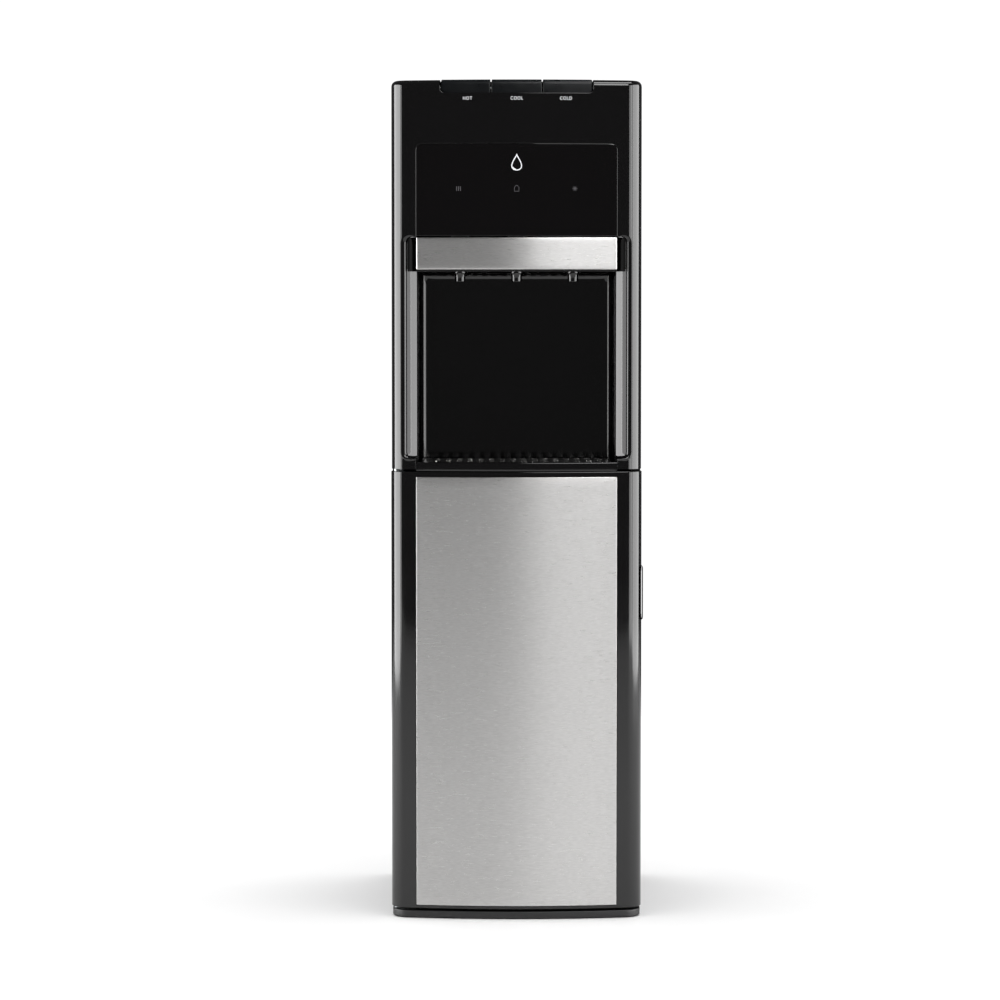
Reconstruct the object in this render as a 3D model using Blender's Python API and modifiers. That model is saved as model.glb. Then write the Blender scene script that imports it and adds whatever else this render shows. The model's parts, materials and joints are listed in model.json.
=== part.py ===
"""Floor-standing water dispenser that is loaded from below.

A tall cabinet with a bowed front. The lower half is a hinged door over the
bottle bay, the upper half holds three press keys over a drinking-glass alcove.
The cold and hot tanks, the compressor and the pump sit behind the alcove.

Frame: origin on the floor under the middle of the cabinet, +Z up, the front
faces -Y and +X is the right-hand side seen from the front. Metres throughout.
"""

import math

import bmesh
import bpy
from mathutils import Matrix

# Whole cabinet
HEIGHT = 1.040
HALF_WIDTH = 0.155
DEPTH = 0.360
FRONT_Y = -DEPTH / 2
BACK_Y = DEPTH / 2
GAP = 0.0003

# Plan of the front: a wide arc between two corner arcs
BOW_RADIUS = 0.80
BOW_CENTRE_Y = FRONT_Y + BOW_RADIUS
CORNER_RADIUS = 0.022

# Levels
PLINTH_LOW = 0.001
PLINTH_TOP = 0.0095
DOOR_LOW = 0.0125
DOOR_TOP = 0.557
DECK_LOW = 0.5500
DECK_TOP = 0.5520
FASCIA_LOW = 0.560
TRAY_LOW = 0.5577
TRAY_TOP = 0.5684
ALCOVE_LOW = 0.5725
ALCOVE_CEILING = 0.804
VISOR_LOW = 0.8066
VISOR_TOP = 0.8465
ALCOVE_TOP = 0.8475
PANEL_LOW = 0.8482
PANEL_TOP = 0.9612
NOTCH_LOW = 1.0235
ROOF = 1.0395
PANELS_TOP = 1.0200

# Depths
CABINET_FRONT_Y = -0.1360
PANELS_BACK_Y = 0.150
DOOR_BACK_Y = -0.1385
LINER_BACK_Y = -0.0275
ALCOVE_BACK_Y = -0.030

# Widths
DOOR_HALF_WIDTH = 0.1558
BAND_HALF_WIDTH = 0.1243
OPENING_HALF_WIDTH = 0.1365
TUNNEL_HALF_WIDTH = 0.1222
FASCIA_WALL = 0.006
THIN_WALL = 0.0023
ROLL_RADIUS = 0.0055

# Door hinge
HINGE_RADIUS = 0.007
HINGE_X = -DOOR_HALF_WIDTH + HINGE_RADIUS
HINGE_Y = DOOR_BACK_Y - HINGE_RADIUS

# Press keys
KEY_HALF_SPAN = 0.0935
KEY_SPLIT = 0.0318
KEY_GAP = 0.0008
KEY_INSET = 0.0028
KEY_LOW = 1.0185
KEY_PIVOT_Y = -0.1405
KEY_PIVOT_Z = 1.0315
ROD_Y = -0.158
NOZZLE_SPACING = 0.070
NOZZLE_Y = -0.150

# Tanks and cooling
HOT_TANK_X = -0.078
COLD_TANK_X = 0.072
TANK_Y = 0.050

# Rear face
SWITCH_Z = 0.962

PARTS = None
CUTTERS = None


# ---------------------------------------------------------------- scene set-up

def clear_scene():
    for item in list(bpy.data.objects):
        bpy.data.objects.remove(item, do_unlink=True)


def new_collection(name):
    collection = bpy.data.collections.new(name)
    bpy.context.scene.collection.children.link(collection)
    return collection


def material(name, colour, roughness, metallic=0.0):
    made = bpy.data.materials.get(name)
    if made:
        return made
    made = bpy.data.materials.new(name)
    made.use_nodes = True
    shader = made.node_tree.nodes["Principled BSDF"]
    shader.inputs["Base Color"].default_value = (*colour, 1.0)
    shader.inputs["Roughness"].default_value = roughness
    shader.inputs["Metallic"].default_value = metallic
    return made


def gloss_black():
    return material("gloss_black_plastic", (0.012, 0.011, 0.012), 0.08)


def satin_black():
    return material("satin_black_plastic", (0.02, 0.02, 0.022), 0.4)


def key_plastic():
    return material("key_plastic", (0.035, 0.04, 0.05), 0.35)


def stainless():
    return material("brushed_stainless", (0.62, 0.62, 0.62), 0.3, 1.0)


def painted_steel():
    return material("black_painted_steel", (0.02, 0.02, 0.02), 0.45, 0.0)


def zinc_steel():
    return material("zinc_plated_steel", (0.6, 0.6, 0.58), 0.35, 1.0)


def copper():
    return material("copper_tube", (0.72, 0.35, 0.22), 0.3, 1.0)


def black_rubber():
    return material("black_rubber", (0.02, 0.02, 0.02), 0.8)


def white_foam():
    return material("white_foam", (0.8, 0.8, 0.78), 0.9)


def grey_plastic():
    return material("grey_plastic", (0.35, 0.36, 0.37), 0.5)


def blue_plastic():
    return material("blue_plastic", (0.05, 0.15, 0.45), 0.4)


def red_plastic():
    return material("red_plastic", (0.5, 0.04, 0.03), 0.4)


def silicone():
    return material("clear_silicone", (0.75, 0.76, 0.75), 0.5)


def circuit_green():
    return material("circuit_board", (0.02, 0.14, 0.05), 0.5)


# ------------------------------------------------------------- shape functions

def place(name, mesh, look, origin=(0.0, 0.0, 0.0), collection=None):
    """One named object; its mesh is in world coordinates and moved to the origin."""
    mesh.name = name
    mesh.transform(Matrix.Translation([-value for value in origin]))
    piece = bpy.data.objects.new(name, mesh)
    piece.location = origin
    if look:
        mesh.materials.clear()
        mesh.materials.append(look)
    (collection or PARTS).objects.link(piece)
    return piece


def cutter(mesh, name="cutter"):
    piece = place(name, mesh, None, collection=CUTTERS)
    piece.hide_render = True
    piece.display_type = "WIRE"
    return piece


def combine(piece, tool_mesh, operation="DIFFERENCE"):
    """Boolean of one piece with a helper mesh, kept as a live modifier."""
    tool = cutter(tool_mesh, f"{piece.name}_{operation.lower()}")
    step = piece.modifiers.new(operation.title(), "BOOLEAN")
    step.operation = operation
    step.object = tool
    return piece


def smooth(piece, angle=35.0):
    piece.data.shade_smooth()
    piece.data.set_sharp_from_angle(angle=math.radians(angle))
    return piece


def box_mesh(low, high):
    made = bmesh.new()
    size = [b - a for a, b in zip(low, high)]
    middle = [(a + b) / 2 for a, b in zip(low, high)]
    matrix = Matrix.Translation(middle) @ Matrix.Diagonal((*size, 1.0))
    bmesh.ops.create_cube(made, size=1.0, matrix=matrix)
    return finish(made)


def finish(made):
    mesh = bpy.data.meshes.new("shape")
    made.to_mesh(mesh)
    made.free()
    return mesh


AXIS_TURN = {
    "X": Matrix.Rotation(math.pi / 2, 4, "Y"),
    "Y": Matrix.Rotation(-math.pi / 2, 4, "X"),
    "Z": Matrix.Identity(4),
}


def cylinder_mesh(centre, radius, length, axis="Z", sides=24, end_radius=None):
    made = bmesh.new()
    bmesh.ops.create_cone(
        made, cap_ends=True, segments=sides, radius1=radius,
        radius2=radius if end_radius is None else end_radius, depth=length,
        matrix=Matrix.Translation(centre) @ AXIS_TURN[axis],
    )
    return finish(made)


def curve_to_mesh(curve_data, matrix=None, whole_faces=False):
    """The evaluated curve as a welded mesh; the curve object itself is removed."""
    helper = bpy.data.objects.new("curve_helper", curve_data)
    CUTTERS.objects.link(helper)
    if matrix:
        helper.matrix_world = matrix
    bpy.context.view_layer.update()
    evaluated = helper.evaluated_get(bpy.context.evaluated_depsgraph_get())
    mesh = bpy.data.meshes.new_from_object(evaluated)
    mesh.transform(helper.matrix_world)
    bpy.data.objects.remove(helper, do_unlink=True)
    made = bmesh.new()
    made.from_mesh(mesh)
    bmesh.ops.remove_doubles(made, verts=made.verts, dist=0.00001)
    if whole_faces:
        flat = math.radians(0.1)
        bmesh.ops.dissolve_limit(made, angle_limit=flat, verts=made.verts, edges=made.edges)
    made.to_mesh(mesh)
    made.free()
    return mesh


def slab_mesh(outlines, low, high, plane="XY"):
    """Flat outline, with any holes, carried from low to high across its plane."""
    curve = bpy.data.curves.new("outline", "CURVE")
    curve.dimensions = "2D"
    curve.fill_mode = "BOTH"
    curve.extrude = (high - low) / 2
    for outline in outlines:
        spline = curve.splines.new("POLY")
        spline.points.add(len(outline) - 1)
        for point, (across, up) in zip(spline.points, outline):
            point.co = (across, up, 0.0, 1.0)
        spline.use_cyclic_u = True
    middle = (low + high) / 2
    if plane == "XY":
        matrix = Matrix.Translation((0.0, 0.0, middle))
    elif plane == "XZ":
        matrix = Matrix.Translation((0.0, middle, 0.0)) @ Matrix.Rotation(math.pi / 2, 4, "X")
    else:
        turn = Matrix.Rotation(math.pi / 2, 4, "Z") @ Matrix.Rotation(math.pi / 2, 4, "X")
        matrix = Matrix.Translation((middle, 0.0, 0.0)) @ turn
    return curve_to_mesh(curve, matrix, whole_faces=len(outlines) == 1)


def tube_mesh(points, radius, bevel_steps=2, closed=False):
    """Round bar or pipe along a list of points."""
    curve = bpy.data.curves.new("route", "CURVE")
    curve.dimensions = "3D"
    curve.bevel_depth = radius
    curve.bevel_resolution = bevel_steps
    curve.use_fill_caps = not closed
    spline = curve.splines.new("POLY")
    spline.points.add(len(points) - 1)
    for target, point in zip(spline.points, points):
        target.co = (*point, 1.0)
    spline.use_cyclic_u = closed
    return curve_to_mesh(curve)


def turned(name, profile, look, centre, axis="Z", steps=24):
    """Turned piece from (radius, height) points: a ring if the profile closes on itself, and a
    solid if it starts and ends on the axis."""
    mesh = bpy.data.meshes.new(name)
    edges = [(index, index + 1) for index in range(len(profile) - 1)]
    if profile[0][0] > 0:
        edges.append((len(profile) - 1, 0))
    mesh.from_pydata([(radius, 0.0, height) for radius, height in profile], edges, [])
    piece = place(name, mesh, look)
    piece.matrix_world = Matrix.Translation(centre) @ AXIS_TURN[axis]
    screw = piece.modifiers.new("Turn", "SCREW")
    screw.steps = steps
    screw.render_steps = steps
    screw.use_merge_vertices = True
    screw.merge_threshold = 0.00001
    screw.use_smooth_shade = True
    return piece


def arc(centre, radius, start, end, steps):
    """Points of an arc; angles in degrees from the first axis to the second."""
    angles = [math.radians(start + (end - start) * k / steps) for k in range(steps + 1)]
    return [
        (centre[0] + radius * math.cos(a), centre[1] + radius * math.sin(a))
        for a in angles
    ]


def rounded_rectangle(left, right, low, high, radii, steps=5):
    """Anticlockwise outline; radii are for the corners right-low, right-high, left-high, left-low."""
    corners = [
        (right, low, -1, 1, -90, radii[0]),
        (right, high, -1, -1, 0, radii[1]),
        (left, high, 1, -1, 90, radii[2]),
        (left, low, 1, 1, 180, radii[3]),
    ]
    outline = []
    for across, up, to_x, to_z, start, radius in corners:
        if radius <= 0:
            outline.append((across, up))
            continue
        middle = (across + to_x * radius, up + to_z * radius)
        outline += arc(middle, radius, start, start + 90, steps)
    return outline


def bow_y(x, inset=0.0):
    """Y of the bowed front at x, moved back square to the surface by inset."""
    radius = BOW_RADIUS - inset
    return BOW_CENTRE_Y - math.sqrt(radius * radius - x * x)


def corner_centre(half_width, inset, corner):
    """Centre of the corner arc that touches the bow and the side."""
    reach = BOW_RADIUS - inset - corner
    across = half_width - corner
    return across, BOW_CENTRE_Y - math.sqrt(reach * reach - across * across)


def surface_y(x):
    """Y of the outer face at x, on the bow or on the corner arc."""
    across, deep = corner_centre(HALF_WIDTH, 0.0, CORNER_RADIUS)
    touch = across * BOW_RADIUS / (BOW_RADIUS - CORNER_RADIUS)
    if abs(x) <= touch:
        return bow_y(x)
    beyond = min(abs(x) - across, CORNER_RADIUS)
    return deep - math.sqrt(CORNER_RADIUS**2 - beyond**2)


def front_path(half_width, inset, corner, front_steps=20, corner_steps=6):
    """Front of the plan from the left side round to the right side."""
    across, deep = corner_centre(half_width, inset, corner)
    lean = math.degrees(math.asin(across / (BOW_RADIUS - inset - corner)))
    left = arc((-across, deep), corner, 180, 270 - lean, corner_steps)
    right = arc((across, deep), corner, 270 + lean, 360, corner_steps)
    middle = arc((0.0, BOW_CENTRE_Y), BOW_RADIUS - inset, 270 - lean, 270 + lean, front_steps)
    return left + middle[1:-1] + right


def cabinet_outline(half_width, inset, corner, back_y, front_steps=20, corner_steps=6):
    path = front_path(half_width, inset, corner, front_steps, corner_steps)
    return path + [(half_width, back_y), (-half_width, back_y)]


def bowed_outline(left, right, inset, back_y, steps=12):
    """Plan with the bowed front between two straight sides."""
    front = [left + (right - left) * k / steps for k in range(steps + 1)]
    return [(x, bow_y(x, inset)) for x in front] + [(right, back_y), (left, back_y)]


def bowed_strip(left, right, inset, thickness, steps=12):
    """Plan of a sheet that lies on the bow."""
    across = [left + (right - left) * k / steps for k in range(steps + 1)]
    front = [(x, bow_y(x, inset)) for x in across]
    back = [(x, bow_y(x, inset + thickness)) for x in reversed(across)]
    return front + back


def round_top_edges(mesh, level, radius, segments, behind=None):
    """Round the edges of the top face, except any that lie behind a plane."""
    made = bmesh.new()
    made.from_mesh(mesh)
    chosen = []
    for edge in made.edges:
        first, second = (vert.co for vert in edge.verts)
        on_top = abs(first.z - level) < 1e-5 and abs(second.z - level) < 1e-5
        on_back = behind is not None and min(first.y, second.y) > behind - 1e-5
        if on_top and not on_back:
            chosen.append(edge)
    bmesh.ops.bevel(
        made, geom=chosen, offset=radius, segments=segments, profile=0.5, affect="EDGES",
        clamp_overlap=True,
    )
    made.to_mesh(mesh)
    made.free()
    return mesh


def loft_mesh(rings):
    """Skin between rings of equal point count, with flat ends."""
    made = bmesh.new()
    rows = [[made.verts.new(point) for point in ring] for ring in rings]
    count = len(rings[0])
    for near, far in zip(rows, rows[1:]):
        for k in range(count):
            after = (k + 1) % count
            made.faces.new((near[k], near[after], far[after], far[k]))
    made.faces.new(list(reversed(rows[0])))
    made.faces.new(rows[-1])
    bmesh.ops.recalc_face_normals(made, faces=made.faces)
    return finish(made)


# ------------------------------------------------------------ base and cabinet

def build_base():
    outline = cabinet_outline(0.1545, 0.0005, CORNER_RADIUS, PANELS_BACK_Y)
    plinth = place("base_plinth", slab_mesh([outline], PLINTH_LOW, PLINTH_TOP), satin_black())
    pocket = cabinet_outline(0.1515, 0.0035, CORNER_RADIUS - 0.003, PANELS_BACK_Y - 0.003)
    combine(plinth, slab_mesh([pocket], PLINTH_LOW - 0.001, PLINTH_TOP - 0.0025))
    places = {"front_left": (-1, -0.118), "front_right": (1, -0.118),
              "rear_left": (-1, 0.125), "rear_right": (1, 0.125)}
    for corner, (side, y) in places.items():
        foot = cylinder_mesh((side * 0.120, y, 0.00335), 0.013, 0.0067, sides=20)
        place(f"foot_{corner}", foot, black_rubber())


def build_side_panels():
    skin = 0.001
    outer = 0.1545
    lip = 0.010
    front, back = CABINET_FRONT_Y, PANELS_BACK_Y
    outline = [
        (outer, front), (outer, back), (outer - lip, back), (outer - lip, back - skin),
        (outer - skin, back - skin), (outer - skin, front + skin), (outer - lip, front + skin),
        (outer - lip, front),
    ]
    for name, side in (("side_panel_left", -1), ("side_panel_right", 1)):
        shape = [(side * x, y) for x, y in outline]
        mesh = slab_mesh([shape], PLINTH_TOP + GAP, PANELS_TOP)
        place(name, mesh, painted_steel())


def build_back_panel():
    low, high = PLINTH_TOP + GAP, PANELS_TOP
    outline = rounded_rectangle(-0.153, 0.153, low, high, (0, 0, 0, 0))
    holes = []
    for row in range(7):
        level = 0.605 + row * 0.016
        for left in (-0.105, 0.020):
            holes.append(rounded_rectangle(left, left + 0.085, level, level + 0.006, (0,) * 4))
    holes.append(rounded_rectangle(-0.124, -0.076, 0.945, 0.979, (0, 0, 0, 0)))
    holes.append(circle((0.115, 0.585), 0.0083, 16))
    holes.append(circle((-0.075, 0.585), 0.0083, 16))
    back_y = PANELS_BACK_Y + GAP
    mesh = slab_mesh([outline] + holes, back_y, back_y + 0.001, "XZ")
    place("back_panel", mesh, painted_steel())


def circle(centre, radius, steps):
    return arc(centre, radius, 0, 360, steps)[:-1]


def build_top_cover():
    low = PANELS_TOP + GAP
    wall = 0.0023
    front, back = CABINET_FRONT_Y + GAP, PANELS_BACK_Y + 0.0013
    half = HALF_WIDTH
    mesh = box_mesh((-half, front, low), (half, back, ROOF))
    made = bmesh.new()
    made.from_mesh(mesh)
    chosen = [
        edge for edge in made.edges
        if all(abs(v.co.z - ROOF) < 1e-5 for v in edge.verts)
        and not all(abs(v.co.y - front) < 1e-5 for v in edge.verts)
    ]
    bmesh.ops.bevel(made, geom=chosen, offset=0.007, segments=4, profile=0.5, affect="EDGES")
    made.to_mesh(mesh)
    made.free()
    cover = place("top_cover", mesh, satin_black())
    inner = box_mesh((-half + wall, front + 0.006, low - 0.01), (half - wall, back - wall, ROOF - wall))
    made = bmesh.new()
    made.from_mesh(inner)
    edges = [e for e in made.edges if all(abs(v.co.z - ROOF + wall) < 1e-5 for v in e.verts)]
    bmesh.ops.bevel(made, geom=edges, offset=0.005, segments=2, profile=0.5, affect="EDGES")
    made.to_mesh(inner)
    made.free()
    combine(cover, inner)
    smooth(cover)


def build_mid_deck():
    outline = rounded_rectangle(-0.1530, 0.1530, -0.1345, 0.1485, (0, 0, 0, 0))
    holes = [circle((-0.122, 0.112), 0.0085, 12)]
    place("mid_deck", slab_mesh([outline] + holes, DECK_LOW, DECK_TOP), zinc_steel())


# --------------------------------------------------------------- upper housing

def opening_ring(offset, depth):
    """Outline of the alcove mouth, grown by offset, at a depth behind the outer face."""
    half = OPENING_HALF_WIDTH + offset
    radius = 0.009 + offset
    low, high = ALCOVE_LOW - offset, ALCOVE_TOP + offset
    flat = rounded_rectangle(-half, half, low, high, (radius,) * 4, 5)
    points = []
    for index, (x, z) in enumerate(flat):
        following = flat[(index + 1) % len(flat)]
        points.append((x, z))
        if abs(following[0] - x) > 0.1:
            steps = 12
            points += [(x + (following[0] - x) * k / steps, z) for k in range(1, steps)]
    return [(x, surface_y(x) + depth, z) for x, z in points]


def build_front_fascia():
    outline = cabinet_outline(HALF_WIDTH, 0.0, CORNER_RADIUS, CABINET_FRONT_Y - GAP)
    mesh = slab_mesh([outline], FASCIA_LOW, ROOF)
    round_top_edges(mesh, ROOF, 0.007, 4, behind=CABINET_FRONT_Y - GAP)
    fascia = place("front_fascia", mesh, gloss_black())
    side = 0.0025
    hollow = cabinet_outline(HALF_WIDTH - side, FASCIA_WALL, CORNER_RADIUS - side, 0.0)
    combine(fascia, slab_mesh([hollow], FASCIA_LOW - 0.01, PANEL_TOP + 0.0066))
    upper = cabinet_outline(HALF_WIDTH - side, THIN_WALL, CORNER_RADIUS - side, 0.0)
    combine(fascia, slab_mesh([upper], PANEL_TOP + 0.006, ROOF - THIN_WALL))
    rolled = [math.radians(turn) for turn in (75, 50, 25, 0)]
    rings = [opening_ring(ROLL_RADIUS * (1 - math.cos(rolled[0])), -0.010)]
    for angle in rolled:
        offset = ROLL_RADIUS * (1 - math.cos(angle))
        depth = ROLL_RADIUS * (1 - math.sin(angle))
        rings.append(opening_ring(offset, depth))
    rings.append(opening_ring(0.0, 0.030))
    combine(fascia, loft_mesh(rings))
    tray_slot = box_mesh((-0.1247, -0.2, FASCIA_LOW - 0.01), (0.1247, -0.13, ALCOVE_LOW + 0.01))
    combine(fascia, tray_slot)
    panel_hole = rounded_rectangle(
        -BAND_HALF_WIDTH - GAP, BAND_HALF_WIDTH + GAP, ALCOVE_TOP - 0.01, PANEL_TOP + GAP,
        (0, 0.0083, 0.0083, 0),
    )
    combine(fascia, slab_mesh([panel_hole], -0.2, -0.15, "XZ"))
    notch = KEY_HALF_SPAN + KEY_GAP
    key_notch = rounded_rectangle(-notch, notch, NOTCH_LOW, ROOF + 0.02, (0.006, 0, 0, 0.006))
    combine(fascia, slab_mesh([key_notch], -0.2, -0.12, "XZ"))
    smooth(fascia)


def build_control_panel():
    outline = rounded_rectangle(
        -BAND_HALF_WIDTH, BAND_HALF_WIDTH, PANEL_LOW, PANEL_TOP, (0, 0.008, 0.008, 0))
    panel = place("control_panel", slab_mesh([outline], -0.19, -0.15, "XZ"), gloss_black())
    sheet = slab_mesh([bowed_strip(-0.13, 0.13, -0.0004, 0.0034, 24)], 0.8, 1.0)
    combine(panel, sheet, "INTERSECT")
    smooth(panel)
    board = box_mesh((-0.100, -0.1665, 0.868), (0.100, -0.1649, 0.944))
    place("control_board", board, circuit_green())


def build_visor():
    strip = bowed_strip(-BAND_HALF_WIDTH + 0.0002, BAND_HALF_WIDTH - 0.0002, 0.0, 0.001, 24)
    band = place("visor_band", slab_mesh([strip], VISOR_LOW, VISOR_TOP), stainless())
    smooth(band)
    low = 0.8045
    outer = bowed_outline(-0.1234, 0.1234, 0.0013, -0.1366, 16)
    housing = place("spout_housing", slab_mesh([outer], low, VISOR_TOP), satin_black())
    inner = bowed_outline(-0.1212, 0.1212, 0.0036, -0.1388, 16)
    combine(housing, slab_mesh([inner], low + 0.0024, VISOR_TOP + 0.01))
    for x in (-NOZZLE_SPACING, 0.0, NOZZLE_SPACING):
        combine(housing, cylinder_mesh((x, NOZZLE_Y, low), 0.0063, 0.02, sides=16))


def build_taps():
    """Nozzle and push rod of each tap, and the valve block between them."""
    collar_top = 0.8042
    for name, x in (("hot", -NOZZLE_SPACING), ("cool", 0.0), ("cold", NOZZLE_SPACING)):
        profile = [
            (0.0060, 0.8150), (0.0060, collar_top), (0.0082, collar_top), (0.0082, 0.8022),
            (0.0069, 0.8010), (0.0064, 0.7920), (0.0044, 0.7920), (0.0040, 0.8150),
        ]
        turned(f"{name}_nozzle", profile, satin_black(), (x, NOZZLE_Y, 0.0), steps=16)
        low, high = 0.8485, ROOF - 0.0025
        rod = cylinder_mesh((x, ROD_Y, (low + high) / 2), 0.0025, high - low, sides=12)
        place(f"{name}_push_rod", rod, grey_plastic(), (x, ROD_Y, high))
    block = place("valve_block", box_mesh((-0.085, -0.1570, 0.8300), (0.085, -0.1400, 0.8450)),
                  grey_plastic())
    for x in (-NOZZLE_SPACING, 0.0, NOZZLE_SPACING):
        combine(block, box_mesh((x - 0.011, -0.1630, 0.8153), (x + 0.011, -0.1395, 0.8520)), "UNION")
        combine(block, cylinder_mesh((x, ROD_Y, 0.8510), 0.0029, 0.0110, sides=12))


def build_keys():
    """Three keys that rock on one pin behind the top front edge."""
    back = -0.1368
    spans = {
        "hot_key": (-KEY_HALF_SPAN, -KEY_SPLIT - KEY_GAP),
        "cool_key": (-KEY_SPLIT + KEY_GAP, KEY_SPLIT - KEY_GAP),
        "cold_key": (KEY_SPLIT + KEY_GAP, KEY_HALF_SPAN),
    }
    wall = 0.0022
    for name, (left, right) in spans.items():
        mesh = slab_mesh([bowed_outline(left, right, KEY_INSET, back, 8)], KEY_LOW, HEIGHT)
        made = bmesh.new()
        made.from_mesh(mesh)
        chosen = []
        for edge in made.edges:
            on_top = all(abs(vert.co.z - HEIGHT) < 1e-5 for vert in edge.verts)
            in_front = all(vert.co.y < back - 0.02 for vert in edge.verts)
            if on_top and in_front:
                chosen.append(edge)
        bmesh.ops.bevel(made, geom=chosen, offset=0.0055, segments=4, profile=0.5, affect="EDGES")
        made.to_mesh(mesh)
        made.free()
        origin = ((left + right) / 2, KEY_PIVOT_Y, KEY_PIVOT_Z)
        key = place(name, mesh, key_plastic(), origin)
        hollow = bowed_outline(left + wall, right - wall, KEY_INSET + wall, -0.1462, 8)
        combine(key, slab_mesh([hollow], KEY_LOW - 0.01, HEIGHT - wall - 0.0003))
        heel = box_mesh((left - 0.01, -0.1470, KEY_LOW - 0.01), (right + 0.01, -0.12, 1.0280))
        combine(key, heel)
        bore = cylinder_mesh((0.0, KEY_PIVOT_Y, KEY_PIVOT_Z), 0.0018, 0.3, "X", 12)
        combine(key, bore)
        smooth(key)
    pin = cylinder_mesh((0.0, KEY_PIVOT_Y, KEY_PIVOT_Z), 0.0014, 0.1930, "X", 12)
    place("key_pin", pin, zinc_steel(), (0.0, KEY_PIVOT_Y, KEY_PIVOT_Z))
    carrier = place("key_carrier", box_mesh((-0.0968, -0.1500, 1.0120), (0.0968, -0.1368, 1.0145)),
                    satin_black())
    for side in (-1, 1):
        low_x, high_x = sorted((side * 0.0947, side * 0.0968))
        ear = box_mesh((low_x, -0.1450, 1.0130), (high_x, -0.1368, 1.0355))
        combine(carrier, ear, "UNION")
    bore = cylinder_mesh((0.0, KEY_PIVOT_Y, KEY_PIVOT_Z), 0.0017, 0.3, "X", 12)
    combine(carrier, bore)


def build_alcove_liner():
    """Black lining of the alcove: sloping cheeks, then a tunnel with a rounded back."""
    front = bowed_outline(-0.1393, 0.1393, 0.0066, LINER_BACK_Y, 20)
    liner = place("alcove_liner", slab_mesh([front], FASCIA_LOW + 0.0005, 0.8500), gloss_black())
    floor_low = 0.5548
    under = box_mesh((-0.1393, CABINET_FRONT_Y + 0.0015, floor_low), (0.1393, LINER_BACK_Y, 0.565))
    combine(liner, under, "UNION")

    def mouth(half, y, radius):
        flat = rounded_rectangle(-half, half, ALCOVE_LOW, ALCOVE_TOP, (radius,) * 4, 5)
        return [(x, y, z) for x, z in flat]

    funnel = [
        mouth(OPENING_HALF_WIDTH, -0.20, 0.009),
        mouth(OPENING_HALF_WIDTH, -0.1618, 0.009),
        mouth(TUNNEL_HALF_WIDTH + 0.0012, -0.1536, 0.002),
    ]
    combine(liner, loft_mesh(funnel))
    floor = TRAY_LOW - 0.0004
    low_corner = (-TUNNEL_HALF_WIDTH, -0.1580, floor)
    high_corner = (TUNNEL_HALF_WIDTH, ALCOVE_BACK_Y, ALCOVE_CEILING)
    tunnel = box_mesh(low_corner, high_corner)
    made = bmesh.new()
    made.from_mesh(tunnel)
    rounded = []
    for edge in made.edges:
        deep = all(abs(v.co.y - ALCOVE_BACK_Y) < 1e-5 for v in edge.verts)
        on_floor = all(abs(v.co.z - floor) < 1e-5 for v in edge.verts)
        if deep and not on_floor:
            rounded.append(edge)
    bmesh.ops.bevel(made, geom=rounded, offset=0.009, segments=5, profile=0.5, affect="EDGES")
    made.to_mesh(tunnel)
    made.free()
    combine(liner, tunnel)
    slot = box_mesh((-0.1247, -0.2, 0.55), (0.1247, -0.1300, ALCOVE_LOW + 0.005))
    combine(liner, slot)
    visor_room = box_mesh((-0.1238, -0.2, ALCOVE_CEILING - 0.002), (0.1238, -0.1361, 0.86))
    combine(liner, visor_room)
    wall = 0.0023
    for side in (-1, 1):
        low_x, high_x = sorted((side * (TUNNEL_HALF_WIDTH + wall), side * 0.16))
        combine(liner, box_mesh((low_x, -0.118, 0.5), (high_x, 0.0, 0.9)))
    combine(liner, box_mesh((-0.2, -0.118, ALCOVE_CEILING + wall), (0.2, 0.0, 0.9)))
    smooth(liner)


def build_drip_tray():
    """Tray that slides out forwards, with a grille that lifts off it."""
    inner = 0.1195
    ledge = TRAY_TOP - 0.0044
    floor = TRAY_LOW + 0.0015
    above = TRAY_TOP + 0.01
    grille_low = ledge + GAP
    grille_top = TRAY_TOP - 0.0004
    back = ALCOVE_BACK_Y - 0.0105
    front_bar = bowed_outline(-0.1243, 0.1243, 0.0, -0.1600, 16)
    origin = (0.0, FRONT_Y, TRAY_LOW)
    tray = place("drip_tray", slab_mesh([front_bar], TRAY_LOW, TRAY_TOP), gloss_black(), origin)
    body = box_mesh((-inner, -0.165, TRAY_LOW), (inner, back, TRAY_TOP - 0.0004))
    combine(tray, body, "UNION")
    basin = bowed_outline(-inner + 0.002, inner - 0.002, 0.0040, back - 0.002, 12)
    combine(tray, slab_mesh([basin], ledge, above))
    well = bowed_outline(-inner + 0.0055, inner - 0.0055, 0.0075, back - 0.0055, 12)
    combine(tray, slab_mesh([well], floor, above))
    smooth(tray)
    edge = 0.0024
    plate = bowed_outline(-inner + edge, inner - edge, 0.0044, back - edge, 12)
    slots = []
    for row in range(4):
        near = -0.1600 + row * 0.029
        for column in range(16):
            x = -0.1012 + column * 0.0135
            slots.append(rounded_rectangle(x - 0.003, x + 0.003, near, near + 0.022, (0,) * 4))
    grille = slab_mesh([plate] + slots, grille_low, grille_top)
    place("drip_grille", grille, stainless(), (0.0, -0.1, grille_low))


# ------------------------------------------------------------------------ door

def door_outline(inset, side, corner, back_y, hinge_round):
    """Door plan; the rear corner at the hinge is an arc about the hinge axis."""
    half = DOOR_HALF_WIDTH - side
    path = front_path(half, inset, corner)
    outline = path + [(half, back_y)]
    if hinge_round > 0:
        centre = (-half + hinge_round, back_y - hinge_round)
        outline += arc(centre, hinge_round, 90, 180, 5)[:-1]
    else:
        outline.append((-half, back_y))
    return outline


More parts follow.
